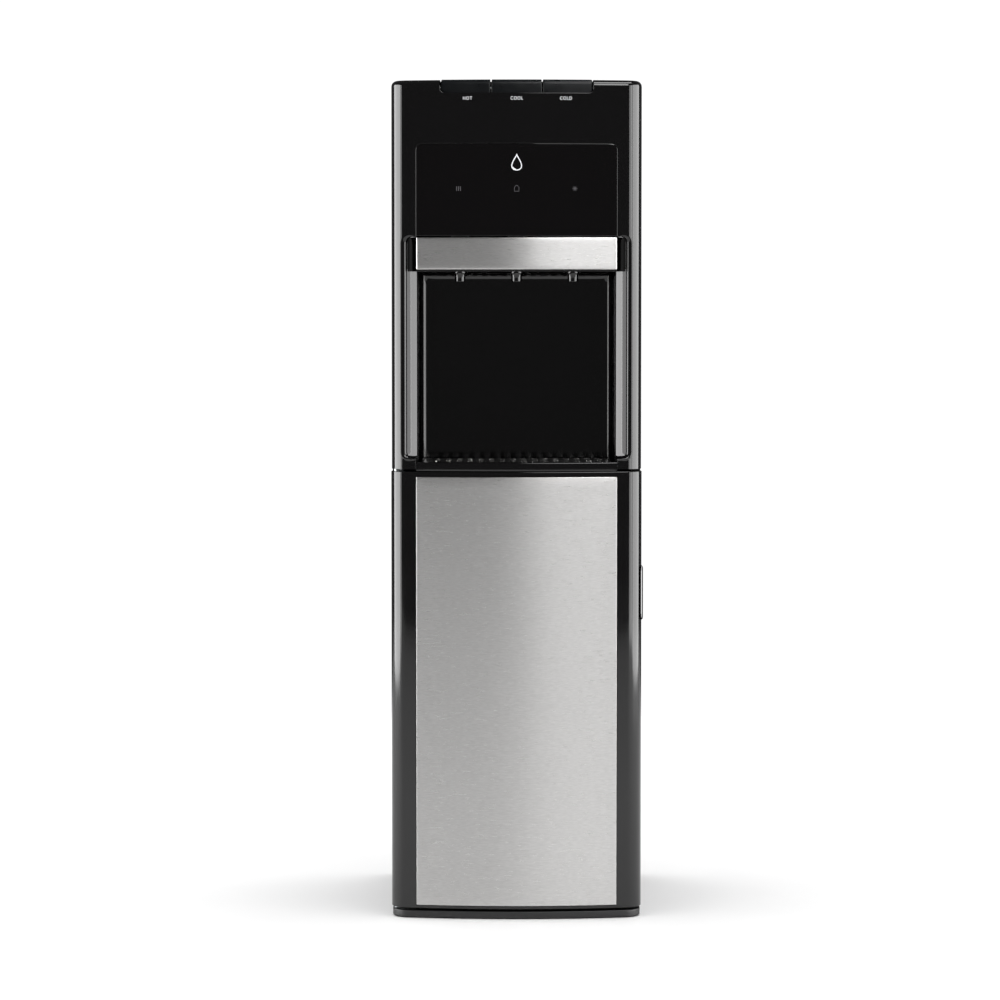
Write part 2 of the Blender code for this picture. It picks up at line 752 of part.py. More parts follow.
def build_door():
    origin = (HINGE_X, HINGE_Y, DOOR_LOW)
    outline = door_outline(0.0, 0.0, CORNER_RADIUS, DOOR_BACK_Y, HINGE_RADIUS)
    frame = place("door_frame", slab_mesh([outline], DOOR_LOW, DOOR_TOP), gloss_black(), origin)
    wall = 0.003
    hollow = cabinet_outline(DOOR_HALF_WIDTH - 0.012, 0.0045, CORNER_RADIUS - 0.012, -0.10)
    combine(frame, slab_mesh([hollow], DOOR_LOW + wall, DOOR_TOP - wall))
    skin_half = 0.1245
    skin_low, skin_high = 0.0165, 0.5505
    pocket = bowed_strip(-skin_half - GAP, skin_half + GAP, -0.01, 0.0111, 24)
    combine(frame, slab_mesh([pocket], skin_low - GAP, skin_high + GAP))
    for level in (DOOR_LOW, DOOR_TOP):
        combine(frame, cylinder_mesh((HINGE_X, HINGE_Y, level), 0.0028, 0.020, sides=12))
    grip = box_mesh((0.1480, -0.1500, 0.378), (0.17, -0.1300, 0.433))
    combine(frame, grip)
    seat = box_mesh((0.1543, -0.1570, 0.3715), (0.17, -0.1447, 0.4395))
    combine(frame, seat)
    smooth(frame)

    strip = bowed_strip(-skin_half, skin_half, 0.0, 0.0008, 24)
    skin = place("door_skin", slab_mesh([strip], skin_low, skin_high), stainless(), origin)
    smooth(skin)

    half = 0.1435
    low, high = DOOR_LOW + wall + GAP, DOOR_TOP - wall - GAP
    inner = box_mesh((-half, DOOR_BACK_Y - 0.0022, low), (half, DOOR_BACK_Y - 0.0002, high))
    place("door_inner_panel", inner, satin_black(), origin)

    seal_low, seal_high = DOOR_LOW + 0.008, DOOR_TOP - 0.008
    ring = rounded_rectangle(-0.141, 0.141, seal_low, seal_high, (0.004,) * 4, 3)
    hole = rounded_rectangle(-0.133, 0.133, seal_low + 0.008, seal_high - 0.008, (0.002,) * 4, 2)
    seal = slab_mesh([ring, hole], DOOR_BACK_Y + 0.0001, DOOR_BACK_Y + 0.0020, "XZ")
    place("door_seal", seal, black_rubber(), origin)

    pull_outline = [
        (0.1546, -0.1567), (0.1563, -0.1567), (0.1575, -0.1552), (0.1575, -0.1462),
        (0.1563, -0.1450), (0.1546, -0.1450), (0.1546, -0.1462), (0.1552, -0.1470),
        (0.1552, -0.1500), (0.1546, -0.1503),
    ]
    pull = place("door_pull", slab_mesh([pull_outline], 0.3720, 0.4390), satin_black(), origin)
    smooth(pull, 50)

    reach = 0.010
    tab_front, tab_back = -0.1515, CABINET_FRONT_Y - GAP
    plates = {
        "hinge_bracket_lower": (PLINTH_TOP + GAP, -0.1250, PLINTH_TOP + GAP),
        "hinge_bracket_upper": (DOOR_TOP + 0.0006, -0.1400, DOOR_TOP + 0.0024 - reach),
    }
    for name, (low, inner_x, pin_low) in plates.items():
        outline = rounded_rectangle(-0.1525, inner_x, tab_front, tab_back, (0.004, 0, 0, 0.004), 3)
        bracket = place(name, slab_mesh([outline], low, low + 0.0018), zinc_steel())
        pin = cylinder_mesh((HINGE_X, HINGE_Y, pin_low + reach / 2), 0.0021, reach, sides=12)
        combine(bracket, pin, "UNION")
        if name == "hinge_bracket_upper":
            upright = box_mesh((-0.1520, tab_back - 0.0016, low + 0.0005), (inner_x, tab_back, 0.590))
            combine(bracket, upright, "UNION")


# ------------------------------------------------------------------ bottle bay

def build_bottle_bay():
    wall = 0.0015
    outer, back, front = 0.1465, 0.143, -0.1330
    outline = [
        (outer, front), (outer, back), (-outer, back), (-outer, front),
        (-outer + wall, front), (-outer + wall, back - wall), (outer - wall, back - wall),
        (outer - wall, front),
    ]
    place("bay_liner", slab_mesh([outline], 0.0225, DECK_LOW - GAP), grey_plastic())
    low = PLINTH_TOP + GAP
    shelf = place("bottle_shelf", box_mesh((-0.1465, -0.1330, low), (0.1465, 0.143, 0.0222)),
                  grey_plastic())
    combine(shelf, cylinder_mesh((0.0, 0.005, 0.0222), 0.1362, 0.006, sides=40))
    combine(shelf, box_mesh((-0.1435, -0.130, low - 0.01), (0.1435, 0.140, 0.0165)))
    x, y = -0.122, 0.112
    hook = place("probe_hanger", box_mesh((x - 0.019, 0.0975, 0.478), (x + 0.019, 0.1412, 0.482)),
                 grey_plastic())
    combine(hook, box_mesh((x - 0.019, 0.1385, 0.460), (x + 0.019, 0.1412, 0.500)), "UNION")
    combine(hook, box_mesh((x - 0.0065, 0.09, 0.47), (x + 0.0065, y, 0.49)))
    combine(hook, cylinder_mesh((x, y, 0.48), 0.0065, 0.02, sides=16))
    cap_profile = [
        (0.0, 0.507), (0.0090, 0.507), (0.0090, 0.4960), (0.0150, 0.4940), (0.0155, 0.4824),
        (0.0, 0.4824),
    ]
    cap = turned("probe_cap", cap_profile, blue_plastic(), (x, y, 0.0), steps=20)
    combine(cap, cylinder_mesh((x, y, 0.495), 0.0030, 0.04, sides=12))
    pipe = cylinder_mesh((x, y, 0.275), 0.0048, 0.414, sides=12)
    place("probe_pipe", pipe, stainless(), (x, y, 0.482))
    hose = tube_mesh([(x, y, 0.4925 + 0.0075 * k) for k in range(8)], 0.0026)
    place("probe_hose", hose, silicone(), (x, y, 0.49))


# -------------------------------------------------------- water, heat and cold

def build_tanks():
    hot = (HOT_TANK_X, TANK_Y, 0.0)
    profile = [(0.0, 0.985), (0.036, 0.985), (0.045, 0.976), (0.045, 0.874)]
    profile += [(0.036, 0.865), (0.0, 0.865)]
    turned("hot_tank", profile, stainless(), hot)
    cold = (COLD_TANK_X, TANK_Y, 0.0)
    profile = [(0.0, 1.000), (0.044, 1.000), (0.052, 0.992), (0.052, 0.858)]
    profile += [(0.044, 0.850), (0.0, 0.850)]
    turned("cold_tank", profile, stainless(), cold)
    jacket = [(0.070, 0.994), (0.070, 0.852), (0.0600, 0.852), (0.0600, 0.994)]
    turned("cold_tank_jacket", jacket, white_foam(), cold)
    turns, steps, rise = 5, 18, 0.020
    coil = []
    for index in range(turns * steps + 1):
        angle = 2 * math.pi * index / steps
        height = 0.875 + rise * index / steps
        coil.append((COLD_TANK_X + 0.0560 * math.cos(angle), TANK_Y + 0.0560 * math.sin(angle), height))
    place("evaporator_coil", tube_mesh(coil, 0.003, 1), copper())
    shelf = rounded_rectangle(-0.150, 0.150, -0.0240, 0.1485, (0,) * 4)
    place("tank_shelf", slab_mesh([shelf], 0.8440, 0.8456), zinc_steel())


def build_cooling():
    centre = (0.065, 0.070, 0.0)
    body = [
        (0.0, 0.712), (0.030, 0.710), (0.052, 0.694), (0.058, 0.672), (0.058, 0.600),
        (0.050, 0.578), (0.032, 0.569), (0.032, 0.5606), (0.0, 0.5606),
    ]
    turned("compressor", body, painted_steel(), centre)
    base = box_mesh((0.000, 0.012, 0.5573), (0.130, 0.128, 0.5603))
    place("compressor_base", base, black_rubber())

    low, pitch, passes, y = 0.735, 0.022, 9, 0.1665
    place("condenser_tube", tube_mesh(serpentine(low, pitch, passes, y), 0.0025, 1), painted_steel())
    for name, x in (("left", -0.135), ("right", 0.135)):
        strip = box_mesh((x - 0.006, PANELS_BACK_Y + 0.0016, 0.715), (x + 0.006, BACK_Y, 1.000))
        place(f"condenser_rail_{name}", strip, painted_steel())


def serpentine(low, pitch, passes, y):
    """Tube route of level passes joined by half-circle bends."""
    radius = pitch / 2
    left, right = -0.1152, 0.1152
    route = []
    for index in range(passes):
        level = low + index * pitch
        forward = index % 2 == 0
        start, end = (left, right) if forward else (right, left)
        route.append((start, y, level))
        route.append((end, y, level))
        if index < passes - 1:
            sign = 1 if forward else -1
            for turn in (-60, -30, 0, 30, 60):
                angle = math.radians(turn)
                route.append((end + sign * radius * math.cos(angle), y,
                              level + radius + radius * math.sin(angle)))
    return route


def build_pump():
    place("pump_body", cylinder_mesh((-0.105, 0.060, 0.5745), 0.022, 0.050, "Y", 18), grey_plastic())


# ------------------------------------------------------------------- rear face

def build_rear_controls():
    y = PANELS_BACK_Y + GAP
    plate = box_mesh((-0.1237, y - 0.0080, 0.9453), (-0.0763, y + 0.0060, 0.9787))
    bezel = place("switch_bezel", plate, satin_black())
    for x in (-0.112, -0.088):
        hole = box_mesh((x - 0.0078, y - 0.0060, 0.9500), (x + 0.0078, y + 0.02, 0.9740))
        combine(bezel, hole)
    for name, x, look in (("hot_switch", -0.112, red_plastic()), ("cold_switch", -0.088, satin_black())):
        outline = [
            (y - 0.0005, SWITCH_Z - 0.0105), (y + 0.0078, SWITCH_Z - 0.0098), (y + 0.0052, SWITCH_Z),
            (y + 0.0042, SWITCH_Z + 0.0105), (y - 0.0005, SWITCH_Z + 0.0105), (y - 0.0030, SWITCH_Z),
        ]
        mesh = slab_mesh([outline], x - 0.0072, x + 0.0072, "YZ")
        place(name, mesh, look, (x, y, SWITCH_Z))
    gland = [(0.0125, 0.0046), (0.0125, 0.0006), (0.0080, 0.0006), (0.0080, -0.0080),
             (0.0042, -0.0080), (0.0042, 0.0120), (0.0070, 0.0120), (0.0085, 0.0046)]
    turned("cord_gland", gland, satin_black(), (0.115, y + 0.001, 0.585), "Y", 16)
    spout = [(0.0125, 0.0040), (0.0125, 0.0006), (0.0080, 0.0006), (0.0080, -0.0120),
             (0.0045, -0.0120), (0.0045, 0.0180), (0.0070, 0.0180), (0.0070, 0.0040)]
    turned("drain_spout", spout, satin_black(), (-0.075, y + 0.001, 0.585), "Y", 16)
    cap_profile = [(0.0, 0.0215), (0.0100, 0.0215), (0.0100, 0.0045), (0.0075, 0.0045),
                   (0.0075, 0.0185), (0.0, 0.0185)]
    cap = turned("drain_cap", cap_profile, satin_black(), (-0.075, y + 0.001, 0.585), "Y", 16)
    smooth(cap)


def build():
    global PARTS, CUTTERS
    clear_scene()
    PARTS = new_collection("water_dispenser")
    CUTTERS = new_collection("cutters")
    build_base()
    build_side_panels()
    build_back_panel()
    build_top_cover()
    build_mid_deck()
    build_front_fascia()
    build_control_panel()
    build_visor()
    build_taps()
    build_keys()
    build_alcove_liner()
    build_drip_tray()
    build_door()
    build_bottle_bay()
    build_tanks()
    build_cooling()
    build_pump()
    build_rear_controls()


build()
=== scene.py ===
"""Finished look of the bottom-loading water dispenser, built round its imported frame."""

import json
import math

import bmesh
import bpy
import numpy as np
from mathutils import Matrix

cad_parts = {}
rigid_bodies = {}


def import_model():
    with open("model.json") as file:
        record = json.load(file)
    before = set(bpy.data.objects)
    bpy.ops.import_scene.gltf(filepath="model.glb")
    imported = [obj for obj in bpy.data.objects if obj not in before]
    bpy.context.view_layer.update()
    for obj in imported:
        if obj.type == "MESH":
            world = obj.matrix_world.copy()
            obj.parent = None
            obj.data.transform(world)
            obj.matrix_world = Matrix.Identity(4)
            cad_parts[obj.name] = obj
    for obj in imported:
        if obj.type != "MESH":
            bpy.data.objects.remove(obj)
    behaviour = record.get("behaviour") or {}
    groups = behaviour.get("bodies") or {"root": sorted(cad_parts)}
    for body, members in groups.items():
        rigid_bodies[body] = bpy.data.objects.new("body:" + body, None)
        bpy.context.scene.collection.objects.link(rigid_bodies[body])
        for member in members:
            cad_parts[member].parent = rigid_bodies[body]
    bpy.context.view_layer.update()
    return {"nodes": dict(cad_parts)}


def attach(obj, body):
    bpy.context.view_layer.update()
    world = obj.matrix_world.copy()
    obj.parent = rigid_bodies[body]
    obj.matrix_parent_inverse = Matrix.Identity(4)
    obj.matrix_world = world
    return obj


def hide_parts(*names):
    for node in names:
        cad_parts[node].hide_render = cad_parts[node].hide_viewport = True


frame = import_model()

MM = 0.001

# Plan of the cabinet front: a wide bow between two corner arcs, then straight sides
HALF_WIDTH = 0.155
DOOR_HALF_WIDTH = 0.1558
FRONT_Y = -0.180
BOW_RADIUS = 0.80
BOW_CENTRE_Y = FRONT_Y + BOW_RADIUS
CORNER_RADIUS = 0.022

# Levels
PLINTH_LOW = 0.001
PLINTH_TOP = 0.0095
DOOR_LOW = 0.0125
DOOR_TOP = 0.557
FASCIA_LOW = 0.560
TRAY_LOW = 0.5577
TRAY_TOP = 0.5684
ALCOVE_LOW = 0.5725
ALCOVE_CEILING = 0.804
VISOR_LOW = 0.8066
VISOR_TOP = 0.8465
ALCOVE_TOP = 0.8475
PANEL_LOW = 0.8482
PANEL_TOP = 0.9612
COVER_LOW = 1.0203
NOTCH_LOW = 1.0235
ROOF = 1.0395
KEY_TOP = 1.040

# Depths
FASCIA_BACK_Y = -0.1363
COVER_FRONT_Y = -0.1357
COVER_BACK_Y = 0.1513
DOOR_BACK_Y = -0.1385
ALCOVE_BACK_Y = -0.030
BACK_SHEET_Y = 0.1513

# Half widths
BAND_HALF = 0.1243
PANEL_HOLE_HALF = 0.1246
TRAY_SLOT_HALF = 0.1247
MOUTH_HALF = 0.1365
TUNNEL_HALF = 0.1222
NOTCH_HALF = 0.0943
SKIN_HALF = 0.1245

# Rounded edges
MOUTH_CORNER = 0.009
PANEL_CORNER = 0.008
MOUTH_ROLL = 0.0075
MOUTH_DEPTH = 0.0055
THIN_EDGE = 0.0004
ROOF_ROLL = 0.007
NOTCH_LIP = 0.7 * MM

TAPS = (("hot", -1), ("cool", 0), ("cold", 1))
TAP_SPACING = 0.070
TAP_Y = -0.150

# Points closer than the first are merged, and edges shorter than the second are dissolved
WELD_DISTANCE = 3e-6
DEGENERATE_LENGTH = 1e-6


# ------------------------------------------------------------ shape arithmetic

def run(start, end, count):
    """Evenly spaced points on a straight line, from start up to but not including end."""
    step = np.linspace(0.0, 1.0, count, endpoint=False)[:, None]
    return (1.0 - step) * np.array(start, float) + step * np.array(end, float)


def bend(centre, radius, start, end, count):
    """Points on an arc, centre plus radius times (cosine, sine), up to but not including end."""
    angle = np.radians(np.linspace(start, end, count, endpoint=False))
    return np.array(centre, float) + radius * np.stack([np.cos(angle), np.sin(angle)], axis=1)


def outline(*parts):
    return np.concatenate([np.atleast_2d(part) for part in parts])


def legs(corners, counts):
    """Evenly spaced points along the straight legs between corners, without the last corner."""
    return outline(*[run(start, end, count) for start, end, count in zip(corners, corners[1:], counts)])


def quarter(count):
    """Angles of a quarter turn, both ends included."""
    return np.linspace(0, math.pi / 2, count)


def blend(first, second, shares):
    """Rows between two outlines, one for each share of the way from the first to the second."""
    share = np.asarray(shares)[:, None, None]
    return first[None] * (1 - share) + second[None] * share


def surface(x, y, z):
    """Grid of points from coordinates that are each a number, a row, a column or a whole grid."""
    return np.stack(np.broadcast_arrays(x, y, z), axis=-1)


def headings(path, closed=False):
    """Unit directions along a path, from the chords between neighbours."""
    if closed:
        chord = np.roll(path, -1, axis=0) - np.roll(path, 1, axis=0)
    else:
        chord = np.gradient(path, axis=0)
    return chord / np.maximum(np.linalg.norm(chord, axis=1, keepdims=True), 1e-12)


def left_of(heading):
    return np.stack([-heading[:, 1], heading[:, 0]], axis=1)


def both_sides(left):
    """The left half of an outline, ending on the middle, and its mirror image back down."""
    right = left[-2::-1] * np.array([-1.0, 1.0])
    return np.concatenate([left, right])


def rounded_box(left, right, low, high, radius, count, side):
    """Closed outline of a rectangle with quarter-circle corners, anticlockwise."""
    r = radius
    return outline(
        run((left + r, low), (right - r, low), side), bend((right - r, low + r), r, -90, 0, count),
        run((right, low + r), (right, high - r), side), bend((right - r, high - r), r, 0, 90, count),
        run((right - r, high), (left + r, high), side), bend((left + r, high - r), r, 90, 180, count),
        run((left, high - r), (left, low + r), side), bend((left + r, low + r), r, 180, 270, count),
    )


def plan_values(half):
    """Lean of the bow where it meets the corner arc, and that arc's centre."""
    across = half - CORNER_RADIUS
    reach = BOW_RADIUS - CORNER_RADIUS
    lean = math.asin(across / reach)
    return lean, across, BOW_CENTRE_Y - math.sqrt(reach**2 - across**2)


def side_start(half=HALF_WIDTH):
    """Distance round the front from its middle to where the straight side begins."""
    lean = plan_values(half)[0]
    return BOW_RADIUS * lean + CORNER_RADIUS * (math.pi / 2 - lean)


def around(x, half=HALF_WIDTH):
    """Distance round the front from its middle to the place whose distance across is x."""
    lean, across = plan_values(half)[:2]
    size = np.abs(x)
    on_bow = BOW_RADIUS * np.arcsin(np.clip(size / BOW_RADIUS, 0, 1))
    turned = np.arcsin(np.clip((size - across) / CORNER_RADIUS, -1, 1))
    on_corner = BOW_RADIUS * lean + CORNER_RADIUS * (turned - lean)
    return np.sign(x) * np.where(on_bow <= BOW_RADIUS * lean, on_bow, on_corner)


def wrap(distance, level, inset=0.0, half=HALF_WIDTH):
    """Point of the front at a distance round from the middle, at a level, and set in square to
    the face: (R - inset) times (sine, -cosine) on the bow, the same on the small corner arc about
    its own centre, then straight back along the side."""
    distance, level, inset = np.broadcast_arrays(distance, level, inset)
    lean, across, deep = plan_values(half)
    size = np.abs(distance)
    bow_end = BOW_RADIUS * lean
    corner_end = side_start(half)
    bow_turn = size / BOW_RADIUS
    corner_turn = lean + (size - bow_end) / CORNER_RADIUS
    small = CORNER_RADIUS - inset
    x = np.select(
        [size <= bow_end, size <= corner_end],
        [(BOW_RADIUS - inset) * np.sin(bow_turn), across + small * np.sin(corner_turn)],
        half - inset,
    )
    y = np.select(
        [size <= bow_end, size <= corner_end],
        [BOW_CENTRE_Y - (BOW_RADIUS - inset) * np.cos(bow_turn), deep - small * np.cos(corner_turn)],
        deep + size - corner_end,
    )
    return np.stack([np.sign(distance) * x, y, level], axis=-1)


def rolled(distance, radius):
    """Fall of a quarter-round edge: a whole radius at the edge, nothing a radius inside it."""
    reach = np.clip(1.0 - distance / radius, 0.0, 1.0)
    return radius * (1.0 - np.sqrt(1.0 - reach**2))


def edge_steps(low, high, radius, middle):
    """Stations from low to high, close together over the rounded edge at each end."""
    close = radius * (1.0 - np.cos(quarter(7)))
    inner = np.linspace(low + radius, high - radius, middle + 1)
    return np.concatenate([low + close[:-1], inner, high - close[-2::-1]])


def facing_out(loop):
    """Unit normals of a closed anticlockwise outline."""
    heading = headings(loop, closed=True)
    return np.stack([heading[:, 1], -heading[:, 0]], axis=1)


def mirrored(patch):
    """The same patch on the other side of the middle, with its rows turned to keep it facing out."""
    return patch[::-1] * np.array([-1.0, 1.0, 1.0])


def stacked(loop, rise, inset):
    """Rows of a closed plan outline, one for each level and its inset square to the outline."""
    inset = np.asarray(inset, float)
    if inset.ndim == 1:
        inset = inset[:, None]
    flat = loop[None, :, :] - inset[..., None] * facing_out(loop)[None, :, :]
    level = np.broadcast_to(np.asarray(rise, float)[:, None], flat.shape[:2])
    rows = np.concatenate([flat, level[..., None]], axis=-1)
    return np.concatenate([rows, rows[:, :1]], axis=1)


def lathe(profile, centre, axis="Z", sides=48):
    """A profile of (radius, height) points turned about an axis: radius times (cosine, sine)."""
    profile = np.array(profile, float)
    turn = np.linspace(0, 2 * math.pi, sides + 1)
    radius, height = profile[:, :1], np.repeat(profile[:, 1:], sides + 1, axis=1)
    first, second = radius * np.cos(turn), radius * np.sin(turn)
    order = {"Z": (first, second, height), "Y": (second, height, first)}
    return np.stack(order[axis], axis=-1) + np.array(centre, float)


def pipe(route, radius, sides=10):
    """A round tube with closed ends: at each point of the route a ring of radius times (cosine,
    sine) in the plane square to it, turned from the fixed axis that the route spreads least along."""
    route = np.array(route, float)
    along = headings(route)
    fixed = np.eye(3)[int(np.argmin(np.ptp(route, axis=0)))]
    first = np.cross(along, fixed)
    first /= np.maximum(np.linalg.norm(first, axis=1, keepdims=True), 1e-9)
    second = np.cross(along, first)
    turn = np.linspace(0, 2 * math.pi, sides + 1)[None, :, None]
    rings = route[:, None] + radius * (np.cos(turn) * first[:, None] + np.sin(turn) * second[:, None])
    ends = [np.repeat(route[index][None, None], sides + 1, axis=1) for index in (0, -1)]
    return np.concatenate([ends[0], rings, ends[1]])


# --------------------------------------------------------------- making pieces

def grid_quads(rows, columns):
    """Corner numbers of the four-sided faces between neighbouring rows and columns."""
    first = np.arange(rows - 1)[:, None] * columns + np.arange(columns - 1)[None, :]
    return np.stack([first, first + 1, first + columns + 1, first + columns], axis=-1).reshape(-1, 4)


def welded_mesh(name, patches, fill=False, facing=None, keep=None):
    """One mesh from grids of points: shared edges are merged and faces turned the same way out.
    fill closes the flat holes, and facing is a direction that an open sheet looks in."""
    points = np.concatenate([patch.reshape(-1, 3) for patch in patches])
    quads, start = [], 0
    for index, patch in enumerate(patches):
        faces = grid_quads(*patch.shape[:2]) + start
        if keep is not None and index == 0:
            faces = faces[keep.ravel()]
        quads.append(faces)
        start += patch.shape[0] * patch.shape[1]
    quads = np.concatenate(quads)
    mesh = bpy.data.meshes.new(name)
    mesh.vertices.add(len(points))
    mesh.vertices.foreach_set("co", points.astype(np.float32).ravel())
    mesh.loops.add(quads.size)
    mesh.loops.foreach_set("vertex_index", quads.astype(np.int32).ravel())
    mesh.polygons.add(len(quads))
    mesh.polygons.foreach_set("loop_start", np.arange(0, quads.size, 4, dtype=np.int32))
    mesh.update(calc_edges=True)
    work = bmesh.new()
    work.from_mesh(mesh)
    bmesh.ops.remove_doubles(work, verts=work.verts, dist=WELD_DISTANCE)
    bmesh.ops.dissolve_degenerate(work, edges=work.edges, dist=DEGENERATE_LENGTH)
    loose = [vert for vert in work.verts if not vert.link_faces]
    bmesh.ops.delete(work, geom=loose, context="VERTS")
    if fill:
        bmesh.ops.holes_fill(work, edges=[edge for edge in work.edges if edge.is_boundary])
    bmesh.ops.recalc_face_normals(work, faces=work.faces)
    if facing is not None:
        total = sum(face.normal.dot(facing) * face.calc_area() for face in work.faces)
        if total < 0:
            bmesh.ops.reverse_faces(work, faces=work.faces)
    work.to_mesh(mesh)
    work.free()
    return mesh


def make_piece(name, patches, finish, body, nodes=(), fill=False, facing=None, wall=0.0,
               sharp=32.0, keep=None):
    """A finished piece from grids of points; wall thickens an open sheet inwards."""
    mesh = welded_mesh(name, patches, fill, facing, keep)
    return finish_piece(name, mesh, finish, body, nodes, wall, sharp)


def finish_piece(name, mesh, finish, body, nodes=(), wall=0.0, sharp=32.0):
    """Shades a mesh smooth between its sharp and open edges and hands it to the frame."""
    mesh.shade_smooth()
    mesh.set_sharp_from_angle(angle=math.radians(sharp))
    work = bmesh.new()
    work.from_mesh(mesh)
    for line in work.edges:
        if line.is_boundary:
            line.smooth = False
    work.to_mesh(mesh)
    work.free()
    piece = bpy.data.objects.new(name, mesh)
    bpy.context.scene.collection.objects.link(piece)
    mesh.materials.clear()
    mesh.materials.append(finish)
    if wall:
        thicken = piece.modifiers.new("Wall", "SOLIDIFY")
        thicken.thickness = wall
        thicken.offset = -1.0
    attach(piece, body)
    if nodes:
        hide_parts(*nodes)
    return piece


# ------------------------------------------------------------------- materials

def linear(code, alpha=1.0):
    """An sRGB hex colour as linear light: each channel to the power that sRGB gives."""
    value = np.array([int(code[index:index + 2], 16) / 255 for index in (1, 3, 5)])
    light = np.where(value <= 0.04045, value / 12.92, ((value + 0.055) / 1.055) ** 2.4)
    return (*light.tolist(), alpha)


def add_node(tree, kind, settings=None, links=None):
    """Adds a node, fills its sockets or properties by name, and joins its inputs to outputs."""
    node = tree.nodes.new(kind)
    for name, value in (settings or {}).items():
        if isinstance(name, int) or name in node.inputs:
            node.inputs[name].default_value = value
        else:
            setattr(node, name, value)
    for name, source in (links or {}).items():
        tree.links.new(source, node.inputs[name])
    return node


def start_material(name, colour, roughness, **sockets):
    """A Principled material; extra sockets are given by name with _ for a space."""
    made = bpy.data.materials.new(name)
    made.use_nodes = True
    shader = made.node_tree.nodes["Principled BSDF"]
    shader.inputs["Base Color"].default_value = linear(colour)
    shader.inputs["Roughness"].default_value = roughness
    for socket, value in sockets.items():
        shader.inputs[socket.replace("_", " ")].default_value = value
    return made, made.node_tree, shader


def noise_field(tree, size, stretch, detail):
    """Noise whose patches are size metres wide; stretch lengthens them."""
    place = add_node(tree, "ShaderNodeTexCoord")
    scale = tuple(1.0 / (size * value) for value in stretch)
    spread = add_node(tree, "ShaderNodeMapping", {"Scale": scale}, {"Vector": place.outputs["Object"]})
    return add_node(tree, "ShaderNodeTexNoise", {"Scale": 1.0, "Detail": detail},
                    {"Vector": spread.outputs["Vector"]})


def add_grain(tree, shader, size, height, stretch=(1, 1, 1), detail=2.0):
    """Noise relief whose bumps are size metres wide and height metres tall."""
    noise = noise_field(tree, size, stretch, detail)
    bump = add_node(tree, "ShaderNodeBump", {"Strength": 1.0, "Distance": height},
                    {"Height": noise.outputs["Fac"]})
    tree.links.new(bump.outputs["Normal"], shader.inputs["Normal"])


def vary(tree, shader, socket, size, low, high, stretch=(1, 1, 1), detail=3.0):
    """A socket that drifts between two colours, or two values, over patches size metres wide."""
    noise = noise_field(tree, size, stretch, detail)
    if isinstance(low, str):
        mix = add_node(tree, "ShaderNodeValToRGB", links={"Fac": noise.outputs["Fac"]})
        ramp = mix.color_ramp.elements
        ramp[0].position, ramp[0].color = 0.35, linear(low)
        ramp[1].position, ramp[1].color = 0.65, linear(high)
        tree.links.new(mix.outputs["Color"], shader.inputs[socket])
    else:
        mix = add_node(tree, "ShaderNodeMapRange",
                       {"From Min": 0.3, "From Max": 0.7, "To Min": low, "To Max": high},
                       {"Value": noise.outputs["Fac"]})
        tree.links.new(mix.outputs["Result"], shader.inputs[socket])


def textured(name, colour, roughness, grain=None, colours=None, dulling=None, **sockets):
    """A material with relief and drift, whose sizes are in millimetres: grain is the bumps' width,
    height and detail, colours is the patches' width and two colours, and dulling is the patches'
    width and two values of roughness."""
    made, tree, shader = start_material(name, colour, roughness, **sockets)
    if grain:
        width, height, detail = grain
        add_grain(tree, shader, width * MM, height * MM, detail=detail)
    if colours:
        vary(tree, shader, "Base Color", colours[0] * MM, *colours[1:])
    if dulling:
        vary(tree, shader, "Roughness", dulling[0] * MM, *dulling[1:])
    return made


def brushed_stainless():
    """Stainless sheet brushed from side to side: its highlights stretch upright, and fine level
    scratches break them. Real scratches are 0.05 mm apart; they are drawn 0.5 mm apart to show."""
    made, tree, shader = start_material(
        "brushed_stainless_sheet", "#c8c7c6", 0.30, Metallic=1.0, Anisotropic=0.92,
        Anisotropic_Rotation=0.25)
    face = add_node(tree, "ShaderNodeNewGeometry")
    level = add_node(tree, "ShaderNodeVectorMath", {"operation": "CROSS_PRODUCT", 1: (0.0, 0.0, 1.0)},
                     {0: face.outputs["Normal"]})
    tree.links.new(level.outputs["Vector"], shader.inputs["Tangent"])
    scratch, streak = 0.5 * MM, 0.9 * MM
    add_grain(tree, shader, scratch, 0.0035 * MM, stretch=(26, 26, 1), detail=4.0)
    vary(tree, shader, "Base Color", streak, "#c3c2c1", "#cdcccb", stretch=(7, 7, 1), detail=5.0)
    vary(tree, shader, "Roughness", streak, 0.27, 0.33, stretch=(20, 20, 1))
    return made


def bead_foam():
    """Moulded polystyrene beads: matt white, each bead a shallow cell."""
    made, tree, shader = start_material("moulded_bead_foam", "#e9e8e2", 0.9, IOR=1.45)
    bead, dent = 3.5 * MM, 0.25 * MM
    place = add_node(tree, "ShaderNodeTexCoord")
    cells = add_node(tree, "ShaderNodeTexVoronoi", {"Scale": 1 / bead}, {"Vector": place.outputs["Object"]})
    bump = add_node(tree, "ShaderNodeBump", {"Distance": dent, "invert": True},
                    {"Height": cells.outputs["Distance"]})
    tree.links.new(bump.outputs["Normal"], shader.inputs["Normal"])
    return made


def circuit_board():
    """Green solder mask over copper tracks, which show as slightly lighter lines."""
    mask, track_pitch = "#0b4a2a", 14 * MM
    made, tree, shader = start_material("solder_mask_board", mask, 0.35, IOR=1.55)
    place = add_node(tree, "ShaderNodeTexCoord")
    tracks = add_node(tree, "ShaderNodeTexBrick",
                      {"Scale": 1 / track_pitch, "Mortar Size": 0.03, "Color1": linear(mask),
                       "Color2": linear("#0d5230"), "Mortar": linear("#2f7a45")},
                      {"Vector": place.outputs["Object"]})
    tree.links.new(tracks.outputs["Color"], shader.inputs["Base Color"])
    return made


